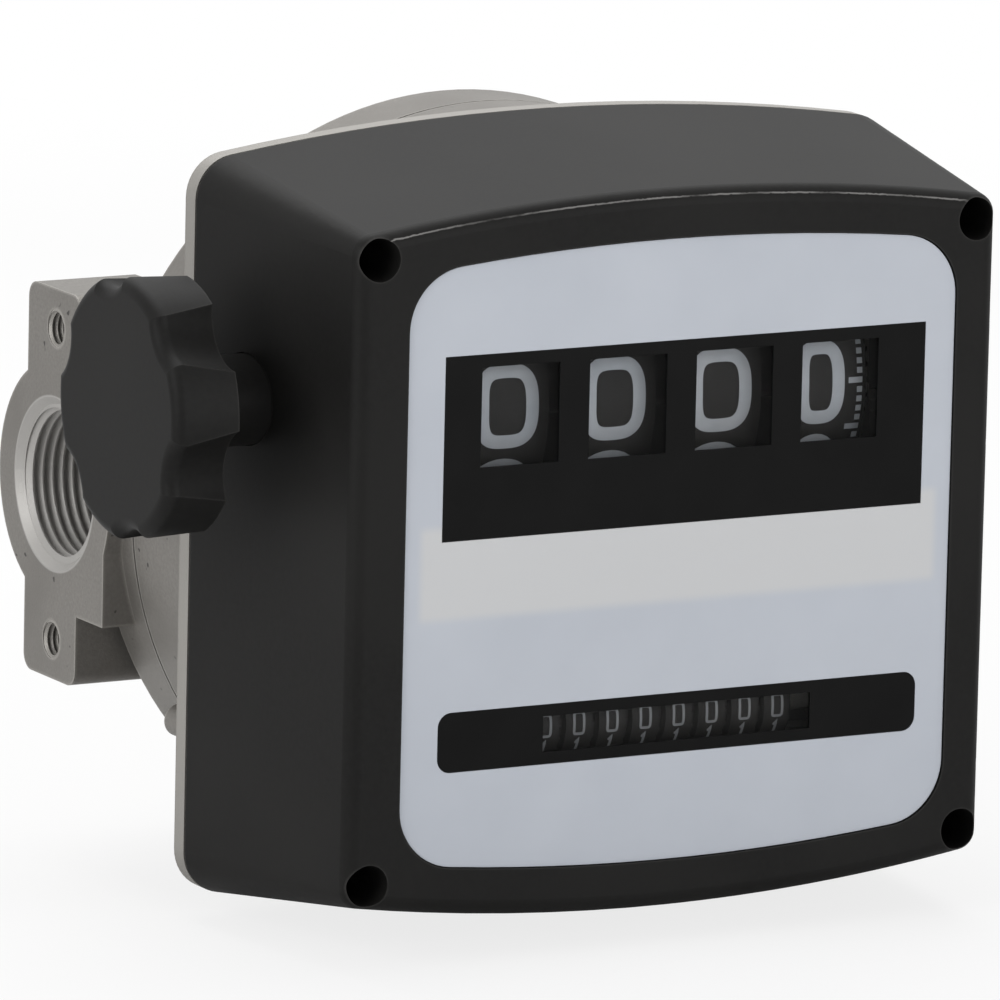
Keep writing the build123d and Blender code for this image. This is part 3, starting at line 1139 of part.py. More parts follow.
def inlet_strainer():
    """Perforated disc on the step behind the inlet thread."""
    left = PORT_DEPTH - HALF_SPAN
    right = left + STRAINER_THICKNESS
    disc = rod_x(STRAINER_SEAT_R - SLIP, left, right)
    for ring in range(1, STRAINER_RINGS + 1):
        count = 6 * ring
        for k in range(count):
            y, z = polar(STRAINER_RING_PITCH * ring, k * 360 / count)
            disc -= rod_x(STRAINER_HOLE_R, left, right, y, z)
    return disc


def calibration_screw():
    """Bypass screw that throttles the passage through the web."""
    end_y = CUP_BACK_Y + CALIBRATION_BOSS_HEIGHT / 2
    start_y = CALIBRATION_SCREW_END_Y + SIDE_PLAY
    screw = rod_y(CALIBRATION_SCREW_R, start_y, end_y, 0, CALIBRATION_Z)
    slot = Pos(0, end_y, CALIBRATION_Z) * Box(
        2 * CALIBRATION_SCREW_R, 2 * CALIBRATION_SLOT_DEPTH, CALIBRATION_SLOT_WIDTH)
    return screw - slot


def calibration_cap():
    """Cap over the calibration screw."""
    base_y = CUP_BACK_Y + CALIBRATION_BOSS_HEIGHT
    cap = rod_y(CALIBRATION_BOSS_R, base_y, base_y + CALIBRATION_CAP_THICKNESS, 0, CALIBRATION_Z)
    return fillet(cap.edges().group_by(Axis.Y)[-1], CALIBRATION_CAP_EDGE_R)


def save(name, shape):
    """Write one piece, moved so that the origin is where the inlet's thread starts."""
    export_step(Pos(HALF_SPAN - PORT_LEAD_IN, 0, 0) * shape, f"parts/{name}.step")


def main():
    os.makedirs("parts", exist_ok=True)
    pieces = {
        "front_cover": front_cover,
        "cover_gasket": cover_gasket,
        "cover_screws": cover_screws,
        "face_label": face_label,
        "counter_mask": counter_mask,
        "totalizer_mask": totalizer_mask,
        "counter_lens": counter_lens,
        "totalizer_lens": totalizer_lens,
        "front_housing": front_housing,
        "housing_gasket": housing_gasket,
        "housing_screws": housing_screws,
        "rear_housing": rear_housing,
        "drive_bush": drive_bush,
        "drive_shaft": drive_shaft,
        "crank_arm": crank_arm,
        "drive_bevel": drive_bevel,
        "lay_bevel": lay_bevel,
        "register_frame": register_frame,
        "frame_screws": frame_screws,
        "axle_bushes": axle_bushes,
        "drum_axle": drum_axle,
        "reset_knob": reset_knob,
        "knob_pin": knob_pin,
        "carry_shaft": carry_shaft,
        "totalizer_axle": totalizer_axle,
        "totalizer_carry_shaft": totalizer_carry_shaft,
        "totalizer_input": totalizer_input,
        "first_stud": first_stud,
        "first_gear": first_gear,
        "second_gear": second_gear,
        "lay_gear": lay_gear,
        "chamber_front_half": chamber_front_half,
        "chamber_rear_half": chamber_rear_half,
        "partition_plate": partition_plate,
        "nutating_disc": nutating_disc,
        "inlet_strainer": inlet_strainer,
        "calibration_screw": calibration_screw,
        "calibration_cap": calibration_cap,
    }
    for name, make in pieces.items():
        save(name, make())
    names = ("units", "tens", "hundreds", "thousands")
    for place, name in enumerate(names):
        save(f"{name}_wheel", number_wheel(place))
    for place, name in enumerate(names[1:]):
        save(f"{name}_carry_pinion", carry_pinion(place))
    for place in range(TOTAL_WHEEL_COUNT):
        save(f"totalizer_wheel_{place + 1}", total_wheel(place))
    for place in range(TOTAL_WHEEL_COUNT - 1):
        save(f"totalizer_pinion_{place + 2}", total_carry_pinion(place))


main()
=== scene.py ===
import json
from math import cos, pi, radians, sin

import bpy
from mathutils import Matrix, Vector


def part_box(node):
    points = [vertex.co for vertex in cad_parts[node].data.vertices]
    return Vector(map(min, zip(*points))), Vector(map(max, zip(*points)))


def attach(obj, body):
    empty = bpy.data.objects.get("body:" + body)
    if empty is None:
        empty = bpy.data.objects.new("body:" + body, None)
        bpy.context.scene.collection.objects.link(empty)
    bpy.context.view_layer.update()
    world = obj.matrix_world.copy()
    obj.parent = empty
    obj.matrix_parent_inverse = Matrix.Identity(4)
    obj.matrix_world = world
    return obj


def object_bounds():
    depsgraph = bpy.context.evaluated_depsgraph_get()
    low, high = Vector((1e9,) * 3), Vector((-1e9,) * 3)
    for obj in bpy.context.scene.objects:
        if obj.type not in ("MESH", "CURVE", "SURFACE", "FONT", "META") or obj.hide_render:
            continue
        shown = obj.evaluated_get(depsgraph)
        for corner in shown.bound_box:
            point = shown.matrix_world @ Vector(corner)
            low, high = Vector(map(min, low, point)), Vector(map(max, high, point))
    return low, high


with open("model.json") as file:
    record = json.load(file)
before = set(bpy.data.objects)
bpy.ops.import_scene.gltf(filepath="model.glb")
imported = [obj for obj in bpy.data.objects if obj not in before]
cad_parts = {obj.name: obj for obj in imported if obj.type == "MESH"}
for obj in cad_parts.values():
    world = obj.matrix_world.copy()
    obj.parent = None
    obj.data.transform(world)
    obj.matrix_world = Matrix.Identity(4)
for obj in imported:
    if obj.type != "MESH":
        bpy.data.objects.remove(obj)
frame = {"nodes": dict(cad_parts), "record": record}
cad_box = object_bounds()

MM = 0.001
HOUSING = "meter_housing"
WHITE = (1.0, 1.0, 1.0, 1.0)

# Camera of the photograph
CAMERA_PLACE = Vector((-1107.55, -2205.23, 477.16)) * MM
CAMERA_AZIMUTH = radians(-28.78)
CAMERA_ELEVATION = radians(10.98)
CAMERA_ROLL = radians(1.33)
CAMERA_LENS = 437.16
CAMERA_FAR = 50.0
SENSOR_WIDTH = 36.0

# Large number wheels
DRUM_PITCH = 24.6 * MM
DRUM_COUNT = 4
LARGE_NAMES = ("units", "tens", "hundreds", "thousands")
LARGE_DIGIT = {"width": 14.2 * MM, "height": 17.4 * MM, "stroke": 2.85 * MM, "power": 3.4}
LARGE_DIGIT_RISE = 0.9 * MM
LARGE_DIGIT_SHIFT = 0.85 * MM
UNITS_DIGIT_WIDTH = 11.2 * MM
UNITS_DIGIT_SHIFT = -0.4 * MM
TICK_SIZE = 1.2 * MM
TICK_LONG = 3.2 * MM
TICK_RIGHT = 9.35 * MM
TICK_RISE = 1.0 * MM
TICKS_PER_DIGIT = 10
LONG_TICK_EVERY = 5

# Small number wheels
SMALL_COUNT = 8
SMALL_DIGIT = {"width": 2.8 * MM, "height": 4.95 * MM, "stroke": 0.55 * MM, "power": 7.0}
SMALL_DIGIT_RISE = 0.25 * MM

# Raised ink of the numerals: how far it stands out of the rim and goes into it, how finely it
# follows the rim, and how sharp a corner of a stroke may be
INK_HEIGHT = 0.08 * MM
INK_DEPTH = 0.06 * MM
INK_STEP = radians(3)
MITRE_FLOOR = 0.5
DIGITS_PER_TURN = 10

# Pipe thread in the ports and screw thread in the flange holes, measured from the mouth
PIPE_THREAD = {"start": 1.5 * MM, "end": 19.9 * MM, "pitch": 2.309 * MM,
               "root_r": 16.62 * MM, "crest_r": 15.2 * MM, "segments": 72}
SCREW_THREAD = {"start": 0.1 * MM, "end": 15.5 * MM, "pitch": 1.25 * MM,
                "root_r": 4.0 * MM, "crest_r": 3.38 * MM, "segments": 36}
FLANGE_HOLE_Z = 32.75 * MM
THREAD_BASE_SHARE = 0.47
THREAD_FLAT_SHARE = 0.16
THREAD_SLIVER = 0.02 * MM
THREAD_FADE_TURN = 0.25

# Machined skin round the ports and on the rim of the plate
MACHINED_R = 18.3 * MM
MACHINED_EDGE = 1.02
PLATE_RIM = 4.0 * MM
PLATE_RIM_EDGE = 0.3 * MM

# Painted highlight along the cover's top front edge: a thin pale line on the round, where light from
# above catches it, in parts of the surface's normal: where the line starts and stops on the round, by Y,
# how far up the round has to face, by Z, and its gaps
HIGHLIGHT_LINE_START = (-0.81, -0.84)
HIGHLIGHT_LINE_STOP = (-0.89, -0.86)
HIGHLIGHT_LINE_UP = (0.25, 0.4)
HIGHLIGHT_LINE_NOISE = 120.0
HIGHLIGHT_LINE_GAPS = (0.25, 0.6)

# Printed band of the label
BAND_LOW = -8.3 * MM
BAND_HIGH = 8.0 * MM
BAND_LEFT = 25.0 * MM
BAND_RIGHT = 141.5 * MM
BAND_EDGE = 2.5 * MM

# Places on a ramp of its darker and its lighter colour
RAMP_LOW = 0.3
RAMP_HIGH = 0.7

# Black moulding. A scale is that of a noise, a range is where a share goes from 0 to 1, and
# relief gives the strength and the distance of a bump. The pale colour for the cover's top front round is
# a painted highlight
PLASTIC = {"dark": (0.0068, 0.0066, 0.0063), "light": (0.0092, 0.009, 0.0086), "scale": 900.0,
           "patch": (0.0115, 0.0112, 0.0106), "patch_scale": 18.0, "patch_detail": 2.0,
           "patch_range": (0.35, 0.75), "worn": (0.03, 0.029, 0.0275), "worn_range": (0.97, 0.8),
           "worn_radius": 0.0007, "painted_edge_highlight": (0.2, 0.195, 0.19), "relief_scale": 2700.0,
           "relief": (0.12, 0.0001), "roughness": 0.5, "level": 0.11}

# Cast aluminium, in the same terms
CASTING = {"dark": (0.175, 0.165, 0.152), "light": (0.215, 0.205, 0.189), "scale": 1400.0,
           "patch": (0.165, 0.156, 0.143), "patch_scale": 45.0, "patch_detail": 3.0,
           "patch_range": (0.35, 0.8), "pit": (0.05, 0.047, 0.043), "pit_scale": 420.0,
           "pit_detail": 1.0, "pit_range": (0.74, 0.8), "worn": (0.36, 0.345, 0.32),
           "worn_range": (0.97, 0.75), "worn_radius": 0.0012, "bore": (0.36, 0.35, 0.335),
           "milled": (0.3, 0.288, 0.268), "relief_scale": 2600.0, "relief": (0.4, 0.00015),
           "roughness": 0.5, "metallic": 0.6}

# Label film with its printed band, and the clear windows
LABEL = {"dark": (0.44, 0.468, 0.52), "light": (0.47, 0.498, 0.55), "scale": 40.0,
         "band": (0.53, 0.536, 0.545), "relief_scale": 120.0, "relief": (0.02, 0.00005),
         "roughness": 0.4}
WINDOW = {"dark": (0.93, 0.94, 0.95), "light": (0.97, 0.97, 0.97), "scale": 60.0,
          "haze": (0.02, 0.02, 0.02), "haze_share": 0.12, "roughness": 0.12}

# Plain mottled materials, by slot
ACETAL = {"dark": (0.68, 0.67, 0.61), "light": (0.76, 0.75, 0.70), "scale": 120.0,
          "roughness": 0.4, "relief": 0.04}
GRAINED = {
    "mask_film": {"name": "black_mask_film", "dark": (0.0045, 0.0045, 0.0045),
                  "light": (0.006, 0.006, 0.006), "scale": 80.0, "roughness": 0.35,
                  "relief": 0.02, "distance": 0.00005, "level": 0.06},
    "gasket_rubber": {"name": "gasket_rubber_black", "dark": (0.012, 0.012, 0.012),
                      "light": (0.02, 0.02, 0.02), "scale": 500.0, "roughness": 0.8},
    "steel": {"name": "zinc_plated_steel", "dark": (0.40, 0.40, 0.39), "light": (0.52, 0.52, 0.50),
              "scale": 300.0, "roughness": 0.35, "metallic": 1.0, "relief": 0.08},
    "bushing_brass": {"name": "turned_brass", "dark": (0.60, 0.45, 0.20),
                      "light": (0.72, 0.55, 0.27), "scale": 250.0, "roughness": 0.3,
                      "metallic": 1.0, "relief": 0.08},
    "chamber_metal": {"name": "machined_aluminium", "dark": (0.45, 0.45, 0.44),
                      "light": (0.55, 0.55, 0.54), "scale": 350.0, "roughness": 0.35,
                      "metallic": 0.9, "relief": 0.1},
    "disc_polymer": {"name": "black_disc_polymer", "dark": (0.02, 0.02, 0.02),
                     "light": (0.035, 0.035, 0.035), "scale": 300.0, "roughness": 0.45},
    "gear_polymer": {"name": "white_acetal", **ACETAL},
    "drum_polymer": {"name": "dark_drum_polymer", "dark": (0.021, 0.0195, 0.0175),
                     "light": (0.028, 0.026, 0.024), "scale": 200.0, "roughness": 0.6,
                     "relief": 0.05, "level": 0.25},
    "pinion_polymer": {"name": "white_pinion_acetal", **ACETAL},
    "ink": {"name": "numeral_ink", "dark": (0.66, 0.69, 0.73), "light": (0.74, 0.77, 0.81),
            "scale": 300.0, "roughness": 0.5, "relief": 0.03},
    "small_ink": {"name": "small_numeral_ink", "dark": (0.36, 0.37, 0.38),
                  "light": (0.42, 0.43, 0.44), "scale": 300.0, "roughness": 0.5, "relief": 0.03},
}

# A plain mottled material's relief is finer than its colour by this
RELIEF_FINER = 3

# Sockets of a colour mix: its two colours and its result
MIX_FIRST = 6
MIX_SECOND = 7
MIX_RESULT = 2

# Floor: share of its own glow to the camera, and where that glow rises to the full white
FLOOR_SIZE = 8.0
FLOOR_COLOUR = (0.9, 0.9, 0.9, 1.0)
FLOOR_ROUGHNESS = 0.9
FLOOR_GLOW = 0.8
FLOOR_NEAR = 0.15
FLOOR_FAR = 1.0

# Light: the world's strength, and for each lamp its place from the meter's middle, size and power
WORLD_LIGHT = 0.45
METER_MIDDLE = Vector((0.083, -0.05, 0.0))
LAMPS = (
    ("top_lamp", (0.1, 0.5, 1.2), 1.2, 11.0),
    ("left_lamp", (-1.3, -0.3, 0.5), 0.9, 8.0),
    ("front_lamp", (0.5, -1.6, 0.25), 1.0, 10.0),
)


def node_material(name):
    """A new node material, its tree and its main shader."""
    material = bpy.data.materials.new(name)
    material.use_nodes = True
    tree = material.node_tree
    return material, tree, tree.nodes["Principled BSDF"]


def object_noise(tree, scale, detail=4.0):
    """Noise in the object's own coordinates, in metres."""
    place = tree.nodes.new("ShaderNodeTexCoord")
    noise = tree.nodes.new("ShaderNodeTexNoise")
    noise.inputs["Scale"].default_value = scale
    noise.inputs["Detail"].default_value = detail
    tree.links.new(place.outputs["Object"], noise.inputs["Vector"])
    return noise.outputs["Fac"]


def ramp(tree, source, look):
    """Colour between the look's dark and light, over source."""
    node = tree.nodes.new("ShaderNodeValToRGB")
    elements = node.color_ramp.elements
    for element, place, colour in zip(elements, (RAMP_LOW, RAMP_HIGH), (look["dark"], look["light"])):
        element.position = place
        element.color = (*colour, 1.0)
    tree.links.new(source, node.inputs["Fac"])
    return node.outputs["Color"]


def bump(tree, shader, source, strength, distance):
    """Fine relief from a noise."""
    node = tree.nodes.new("ShaderNodeBump")
    node.inputs["Strength"].default_value = strength
    node.inputs["Distance"].default_value = distance
    tree.links.new(source, node.inputs["Height"])
    tree.links.new(node.outputs["Normal"], shader.inputs["Normal"])


def grained(name, dark, light, scale, roughness, metallic=0.0, relief=0.15, distance=0.0002, level=0.5):
    """A material with mottled colour and fine relief."""
    material, tree, shader = node_material(name)
    colour = ramp(tree, object_noise(tree, scale), {"dark": dark, "light": light})
    tree.links.new(colour, shader.inputs["Base Color"])
    bump(tree, shader, object_noise(tree, scale * RELIEF_FINER), relief, distance)
    shader.inputs["Roughness"].default_value = roughness
    shader.inputs["Metallic"].default_value = metallic
    shader.inputs["Specular IOR Level"].default_value = level
    return material


def clamped_step(tree, value, start, end):
    """Share that goes from 0 at start to 1 at end."""
    step = tree.nodes.new("ShaderNodeMapRange")
    step.interpolation_type = "SMOOTHSTEP"
    step.inputs["From Min"].default_value = start
    step.inputs["From Max"].default_value = end
    tree.links.new(value, step.inputs["Value"])
    return step.outputs["Result"]


def blended(tree, share, first, second):
    """Colour that goes from the colour socket first to the plain colour second with share."""
    mix = tree.nodes.new("ShaderNodeMix")
    mix.data_type = "RGBA"
    tree.links.new(share, mix.inputs["Factor"])
    tree.links.new(first, mix.inputs[MIX_FIRST])
    mix.inputs[MIX_SECOND].default_value = (*second, 1.0)
    return mix.outputs[MIX_RESULT]


def coordinates(tree, kind):
    """The surface's Object place or Normal, split into X, Y and Z."""
    place = tree.nodes.new("ShaderNodeTexCoord")
    split = tree.nodes.new("ShaderNodeSeparateXYZ")
    tree.links.new(place.outputs[kind], split.inputs["Vector"])
    return split.outputs


def worn_edges(tree, look):
    """Share of wear: 1 where the surface bends sharply outwards, from a bevelled normal."""
    bevel = tree.nodes.new("ShaderNodeBevel")
    bevel.inputs["Radius"].default_value = look["worn_radius"]
    geometry = tree.nodes.new("ShaderNodeNewGeometry")
    dot = tree.nodes.new("ShaderNodeVectorMath")
    dot.operation = "DOT_PRODUCT"
    tree.links.new(bevel.outputs["Normal"], dot.inputs[0])
    tree.links.new(geometry.outputs["Normal"], dot.inputs[1])
    return clamped_step(tree, dot.outputs["Value"], *look["worn_range"])


def product(tree, shares):
    """All the shares multiplied."""
    total = shares[0]
    for share in shares[1:]:
        both = tree.nodes.new("ShaderNodeMath")
        both.operation = "MULTIPLY"
        tree.links.new(total, both.inputs[0])
        tree.links.new(share, both.inputs[1])
        total = both.outputs["Value"]
    return total


def painted_front_edge_highlight(tree):
    """Share of painted highlight: a thin uneven pale line on the round between the cover's top and its
    front, where light from above catches it.
    """
    turned = coordinates(tree, "Normal")
    return product(tree, (clamped_step(tree, turned["Y"], *HIGHLIGHT_LINE_START),
                          clamped_step(tree, turned["Y"], *HIGHLIGHT_LINE_STOP),
                          clamped_step(tree, turned["Z"], *HIGHLIGHT_LINE_UP),
                          clamped_step(tree, object_noise(tree, HIGHLIGHT_LINE_NOISE), *HIGHLIGHT_LINE_GAPS)))


def mottled(tree, look):
    """Fine grain between the look's two colours, with slow patches of a third."""
    fine = ramp(tree, object_noise(tree, look["scale"]), look)
    slow = object_noise(tree, look["patch_scale"], look["patch_detail"])
    return blended(tree, clamped_step(tree, slow, *look["patch_range"]), fine, look["patch"])


def black_plastic(name, painted_edge_highlight):
    """Faded black moulding: fine grain, slow mottling and paler worn edges, and if asked a painted
    highlight along the top front round.
    """
    material, tree, shader = node_material(name)
    colour = blended(tree, worn_edges(tree, PLASTIC), mottled(tree, PLASTIC), PLASTIC["worn"])
    # Painted highlight: a pale line where the cover's top front round faces the light from above
    if painted_edge_highlight:
        colour = blended(tree, painted_front_edge_highlight(tree), colour, PLASTIC["painted_edge_highlight"])
    tree.links.new(colour, shader.inputs["Base Color"])
    bump(tree, shader, object_noise(tree, PLASTIC["relief_scale"]), *PLASTIC["relief"])
    shader.inputs["Roughness"].default_value = PLASTIC["roughness"]
    shader.inputs["Specular IOR Level"].default_value = PLASTIC["level"]
    return material


def near_port_axis(tree):
    """Share of machined skin: 1 within the lead-in of the ports, from the distance to their axis."""
    place = tree.nodes.new("ShaderNodeTexCoord")
    across = tree.nodes.new("ShaderNodeVectorMath")
    across.operation = "MULTIPLY"
    across.inputs[1].default_value = (0.0, 1.0, 1.0)
    length = tree.nodes.new("ShaderNodeVectorMath")
    length.operation = "LENGTH"
    tree.links.new(place.outputs["Object"], across.inputs[0])
    tree.links.new(across.outputs["Vector"], length.inputs[0])
    return clamped_step(tree, length.outputs["Value"], MACHINED_R * MACHINED_EDGE, MACHINED_R)


def plate_rim(tree):
    """Share of milled skin: 1 on the rim of the plate that carries the cover."""
    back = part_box("front_housing")[0][1] + PLATE_RIM
    return clamped_step(tree, coordinates(tree, "Object")["Y"], back, back - PLATE_RIM_EDGE)


def cast_metal():
    """Cast aluminium: mottled skin, dark pits, brighter worn edges and machined faces."""
    material, tree, shader = node_material("cast_aluminium_skin")
    pits = object_noise(tree, CASTING["pit_scale"], CASTING["pit_detail"])
    skin = blended(tree, clamped_step(tree, pits, *CASTING["pit_range"]), mottled(tree, CASTING),
                   CASTING["pit"])
    edge = blended(tree, worn_edges(tree, CASTING), skin, CASTING["worn"])
    bore = blended(tree, near_port_axis(tree), edge, CASTING["bore"])
    milled = blended(tree, plate_rim(tree), bore, CASTING["milled"])
    tree.links.new(milled, shader.inputs["Base Color"])
    bump(tree, shader, object_noise(tree, CASTING["relief_scale"]), *CASTING["relief"])
    shader.inputs["Roughness"].default_value = CASTING["roughness"]
    shader.inputs["Metallic"].default_value = CASTING["metallic"]
    return material


def label_film():
    """Silver blue film with a warmer printed band between the two windows."""
    material, tree, shader = node_material("silver_label_film")
    base = ramp(tree, object_noise(tree, LABEL["scale"]), LABEL)
    place = coordinates(tree, "Object")
    band = product(tree, (clamped_step(tree, place["Z"], BAND_LOW - BAND_EDGE, BAND_LOW),
                          clamped_step(tree, place["Z"], BAND_HIGH + BAND_EDGE, BAND_HIGH),
                          clamped_step(tree, place["X"], BAND_RIGHT + BAND_EDGE, BAND_RIGHT),
                          clamped_step(tree, place["X"], BAND_LEFT - BAND_EDGE, BAND_LEFT)))
    tree.links.new(blended(tree, band, base, LABEL["band"]), shader.inputs["Base Color"])
    bump(tree, shader, object_noise(tree, LABEL["relief_scale"]), *LABEL["relief"])
    shader.inputs["Roughness"].default_value = LABEL["roughness"]
    return material


def shader_mix(tree, share, first, second, output):
    """Mix of two shaders into an output: share is a number or a socket."""
    mix = tree.nodes.new("ShaderNodeMixShader")
    if isinstance(share, float):
        mix.inputs["Fac"].default_value = share
    else:
        tree.links.new(share, mix.inputs["Fac"])
    tree.links.new(first, mix.inputs[1])
    tree.links.new(second, mix.inputs[2])
    tree.links.new(mix.outputs["Shader"], tree.nodes[output].inputs["Surface"])


def window_material():
    """Clear moulded window with a faint haze."""
    material, tree, shader = node_material("clear_window")
    clear = tree.nodes.new("ShaderNodeBsdfTransparent")
    tree.links.new(ramp(tree, object_noise(tree, WINDOW["scale"]), WINDOW), clear.inputs["Color"])
    shader.inputs["Roughness"].default_value = WINDOW["roughness"]
    shader.inputs["Base Color"].default_value = (*WINDOW["haze"], 1.0)
    shader_mix(tree, WINDOW["haze_share"], clear.outputs["BSDF"], shader.outputs["BSDF"],
               "Material Output")
    return material


def make_materials():
    """Every material, by the slot or the part that it is for."""
    special = {
        # The cover's plastic also gets the painted highlight on its top front round
        "front_cover": black_plastic("black_cover_plastic", True),
        "moulded_black": black_plastic("black_moulded_plastic", False),
        "cast_aluminium": cast_metal(),
        "label_film": label_film(),
        "window": window_material(),
    }
    return {**special, **{slot: grained(**look) for slot, look in GRAINED.items()}}


def dress_nodes(materials):
    """Gives every CAD node its own material, or else that of its slot."""
    for row in frame["record"]["subparts"]:
        node = frame["nodes"][row["node"]]
        node.data.materials.clear()
        own = row["node"] if row["node"] in materials else row["material_slot"]
        node.data.materials.append(materials[own])


def mesh_piece(name, points, faces, body, material):
    """A new piece from points and faces, riding on a body."""
    mesh = bpy.data.meshes.new(name)
    mesh.from_pydata(points, [], faces)
    mesh.update()
    piece = bpy.data.objects.new(name, mesh)
    bpy.context.scene.collection.objects.link(piece)
    mesh.materials.append(material)
    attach(piece, body)
    return piece


def arc(centre, radius, start, end, steps=10):
    """Points on an arc: radius is (rx, ry), angles in degrees."""
    points = []
    for k in range(steps + 1):
        angle = radians(start + (end - start) * k / steps)
        points.append((centre[0] + radius[0] * cos(angle), centre[1] + radius[1] * sin(angle)))
    return points


def rounded_ring(half_w, half_h, power, steps=64):
    """Closed centre line of a numeral 0, between an oval and a rectangle."""
    points = []
    for k in range(steps):
        angle = 2 * pi * k / steps
        c, s = cos(angle), sin(angle)
        r = (abs(c / half_w) ** power + abs(s / half_h) ** power) ** (-1 / power)
        points.append((r * c, r * s))
    return points


def numeral_lines(digit, w, h, power):
    """Centre lines of a numeral in a box of half width w and half height h, as (points, closed) pairs."""
    top, low = h / 2, -h / 2
    lines = {
        0: [(rounded_ring(w, h, power), True)],
        1: [([(-0.45 * w, 0.62 * h), (0.1 * w, h), (0.1 * w, -h)], False)],
        2: [(arc((0, top), (w, top), 165, -25) + [(-w, -h), (w, -h)], False)],
        3: [(arc((0, top), (w * 0.9, top), 150, -80) + arc((0, low), (w, top), 85, -150), False)],
        4: [([(w, -0.35 * h), (-w, -0.35 * h), (0.35 * w, h), (0.35 * w, -h)], False)],
        5: [([(0.8 * w, h), (-0.8 * w, h), (-0.9 * w, 0.12 * h)]
             + arc((0, -0.4 * h), (w, 0.6 * h), 120, -150), False)],
        6: [(arc((0.3 * w, 0.1 * h), (1.3 * w, 0.9 * h), 80, 180, 8)
             + arc((0, -0.42 * h), (w, 0.58 * h), 180, 530, 24), False)],
        7: [([(-w, h), (w, h), (-0.2 * w, -h)], False)],
        8: [(arc((0, 0.5 * h), (0.86 * w, 0.5 * h), -90, 270, 24)[:-1], True),
            (arc((0, -0.5 * h), (w, 0.5 * h), 90, 450, 24)[:-1], True)],
        9: [(arc((-0.3 * w, -0.1 * h), (1.3 * w, 0.9 * h), -100, 0, 8)
             + arc((0, 0.42 * h), (w, 0.58 * h), 0, 350, 24), False)],
    }
    return lines[digit]


def offset_points(points, closed, half):
    """Left and right edges of a stroke along the points."""
    count = len(points)
    left, right = [], []
    for k, point in enumerate(points):
        before = points[k - 1] if closed or k > 0 else point
        after = points[(k + 1) % count] if closed or k < count - 1 else point
        along_in = Vector(point) - Vector(before)
        along_out = Vector(after) - Vector(point)
        if along_in.length == 0:
            along_in = along_out
        if along_out.length == 0:
            along_out = along_in
        a, b = along_in.normalized(), along_out.normalized()
        middle = (a + b).normalized()
        normal = Vector((-middle.y, middle.x))
        reach = half / max(MITRE_FLOOR, middle.dot(a))
        left.append(Vector(point) + normal * reach)
        right.append(Vector(point) - normal * reach)
    return left, right


def refine(points, closed, step):
    """The points with long runs divided, so that they can follow the drum."""
    refined = []
    count = len(points)
    last = count if closed else count - 1
    for k in range(last):
        a, b = Vector(points[k]), Vector(points[(k + 1) % count])
        parts = max(1, int((b - a).length / step))
        for j in range(parts):
            refined.append(tuple(a.lerp(b, j / parts)))
    if not closed:
        refined.append(tuple(points[-1]))
    return refined


class DrumInk:
    """Raised ink on a drum: flat strokes wrapped onto its rim."""

    def __init__(self, axis_y, axis_z, radius):
        self.axis_y, self.axis_z, self.radius = axis_y, axis_z, radius
        self.points, self.faces = [], []

    def wrap(self, x, v, angle, height):
        """A point on the drum, v along its rim from the angle."""
        turn = angle + v / self.radius
        r = self.radius + height
        return (x, self.axis_y - r * cos(turn), self.axis_z + r * sin(turn))

    def stroke(self, line, closed, width, x, v, angle):
        """One stroke along a centre line placed at x, v."""
        line = refine(line, closed, self.radius * INK_STEP)
        left, right = offset_points(line, closed, width / 2)
        base = len(self.points)
        for a, b in zip(left, right):
            for point, height in ((a, INK_HEIGHT), (b, INK_HEIGHT), (b, -INK_DEPTH), (a, -INK_DEPTH)):
                self.points.append(self.wrap(x + point.x, v + point.y, angle, height))
        count = len(line)
        for k in range(count if closed else count - 1):
            one, two = base + 4 * k, base + 4 * ((k + 1) % count)
            for j in range(4):
                m = (j + 1) % 4
                self.faces.append((one + j, one + m, two + m, two + j))
        if not closed:
            end = base + 4 * (count - 1)
            self.faces.append((base + 3, base + 2, base + 1, base))
            self.faces.append((end, end + 1, end + 2, end + 3))

    def numeral(self, digit, size, x, v, angle):
        """One numeral centred at x, and v above the angle."""
        half_w = (size["width"] - size["stroke"]) / 2
        half_h = (size["height"] - size["stroke"]) / 2
        for line, closed in numeral_lines(digit, half_w, half_h, size["power"]):
            self.stroke(line, closed, size["stroke"], x, v, angle)


def drum_facts(node):
    """Axis and radius of a number wheel from its CAD node."""
    low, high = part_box(node)
    return (low[1] + high[1]) / 2, (low[2] + high[2]) / 2, (high[2] - low[2]) / 2


def middle_x(node):
    """Middle of a node along X."""
    low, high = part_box(node)
    return (low[0] + high[0]) / 2


def large_numerals(materials):
    """Numerals on the four large wheels, and the tenth scale on the units wheel."""
    first_x = middle_x("thousands_wheel")
    for place, name in enumerate(LARGE_NAMES):
        node = name + "_wheel"
        ink = DrumInk(*drum_facts("thousands_wheel"))
        centre = first_x + (DRUM_COUNT - 1 - place) * DRUM_PITCH
        size = dict(LARGE_DIGIT)
        shift = LARGE_DIGIT_SHIFT
        if place == 0:
            size["width"] = UNITS_DIGIT_WIDTH
            shift = UNITS_DIGIT_SHIFT
            tick_scale(ink, centre + TICK_RIGHT)
        for digit in range(DIGITS_PER_TURN):
            angle = 2 * pi * digit / DIGITS_PER_TURN
            ink.numeral(digit, size, centre + shift, LARGE_DIGIT_RISE, angle)
        mesh_piece(node + "_numerals", ink.points, ink.faces, name + "_drum", materials["ink"])


def tick_scale(ink, right):
    """Ten ticks for each numeral, every fifth one long."""
    for tick in range(DIGITS_PER_TURN * TICKS_PER_DIGIT):
        length = TICK_LONG if tick % LONG_TICK_EVERY == 0 else TICK_SIZE
        angle = 2 * pi * tick / (DIGITS_PER_TURN * TICKS_PER_DIGIT)
        line = [(-length, 0.0), (0.0, 0.0)]
        ink.stroke(line, False, TICK_SIZE, right, TICK_RISE, angle)


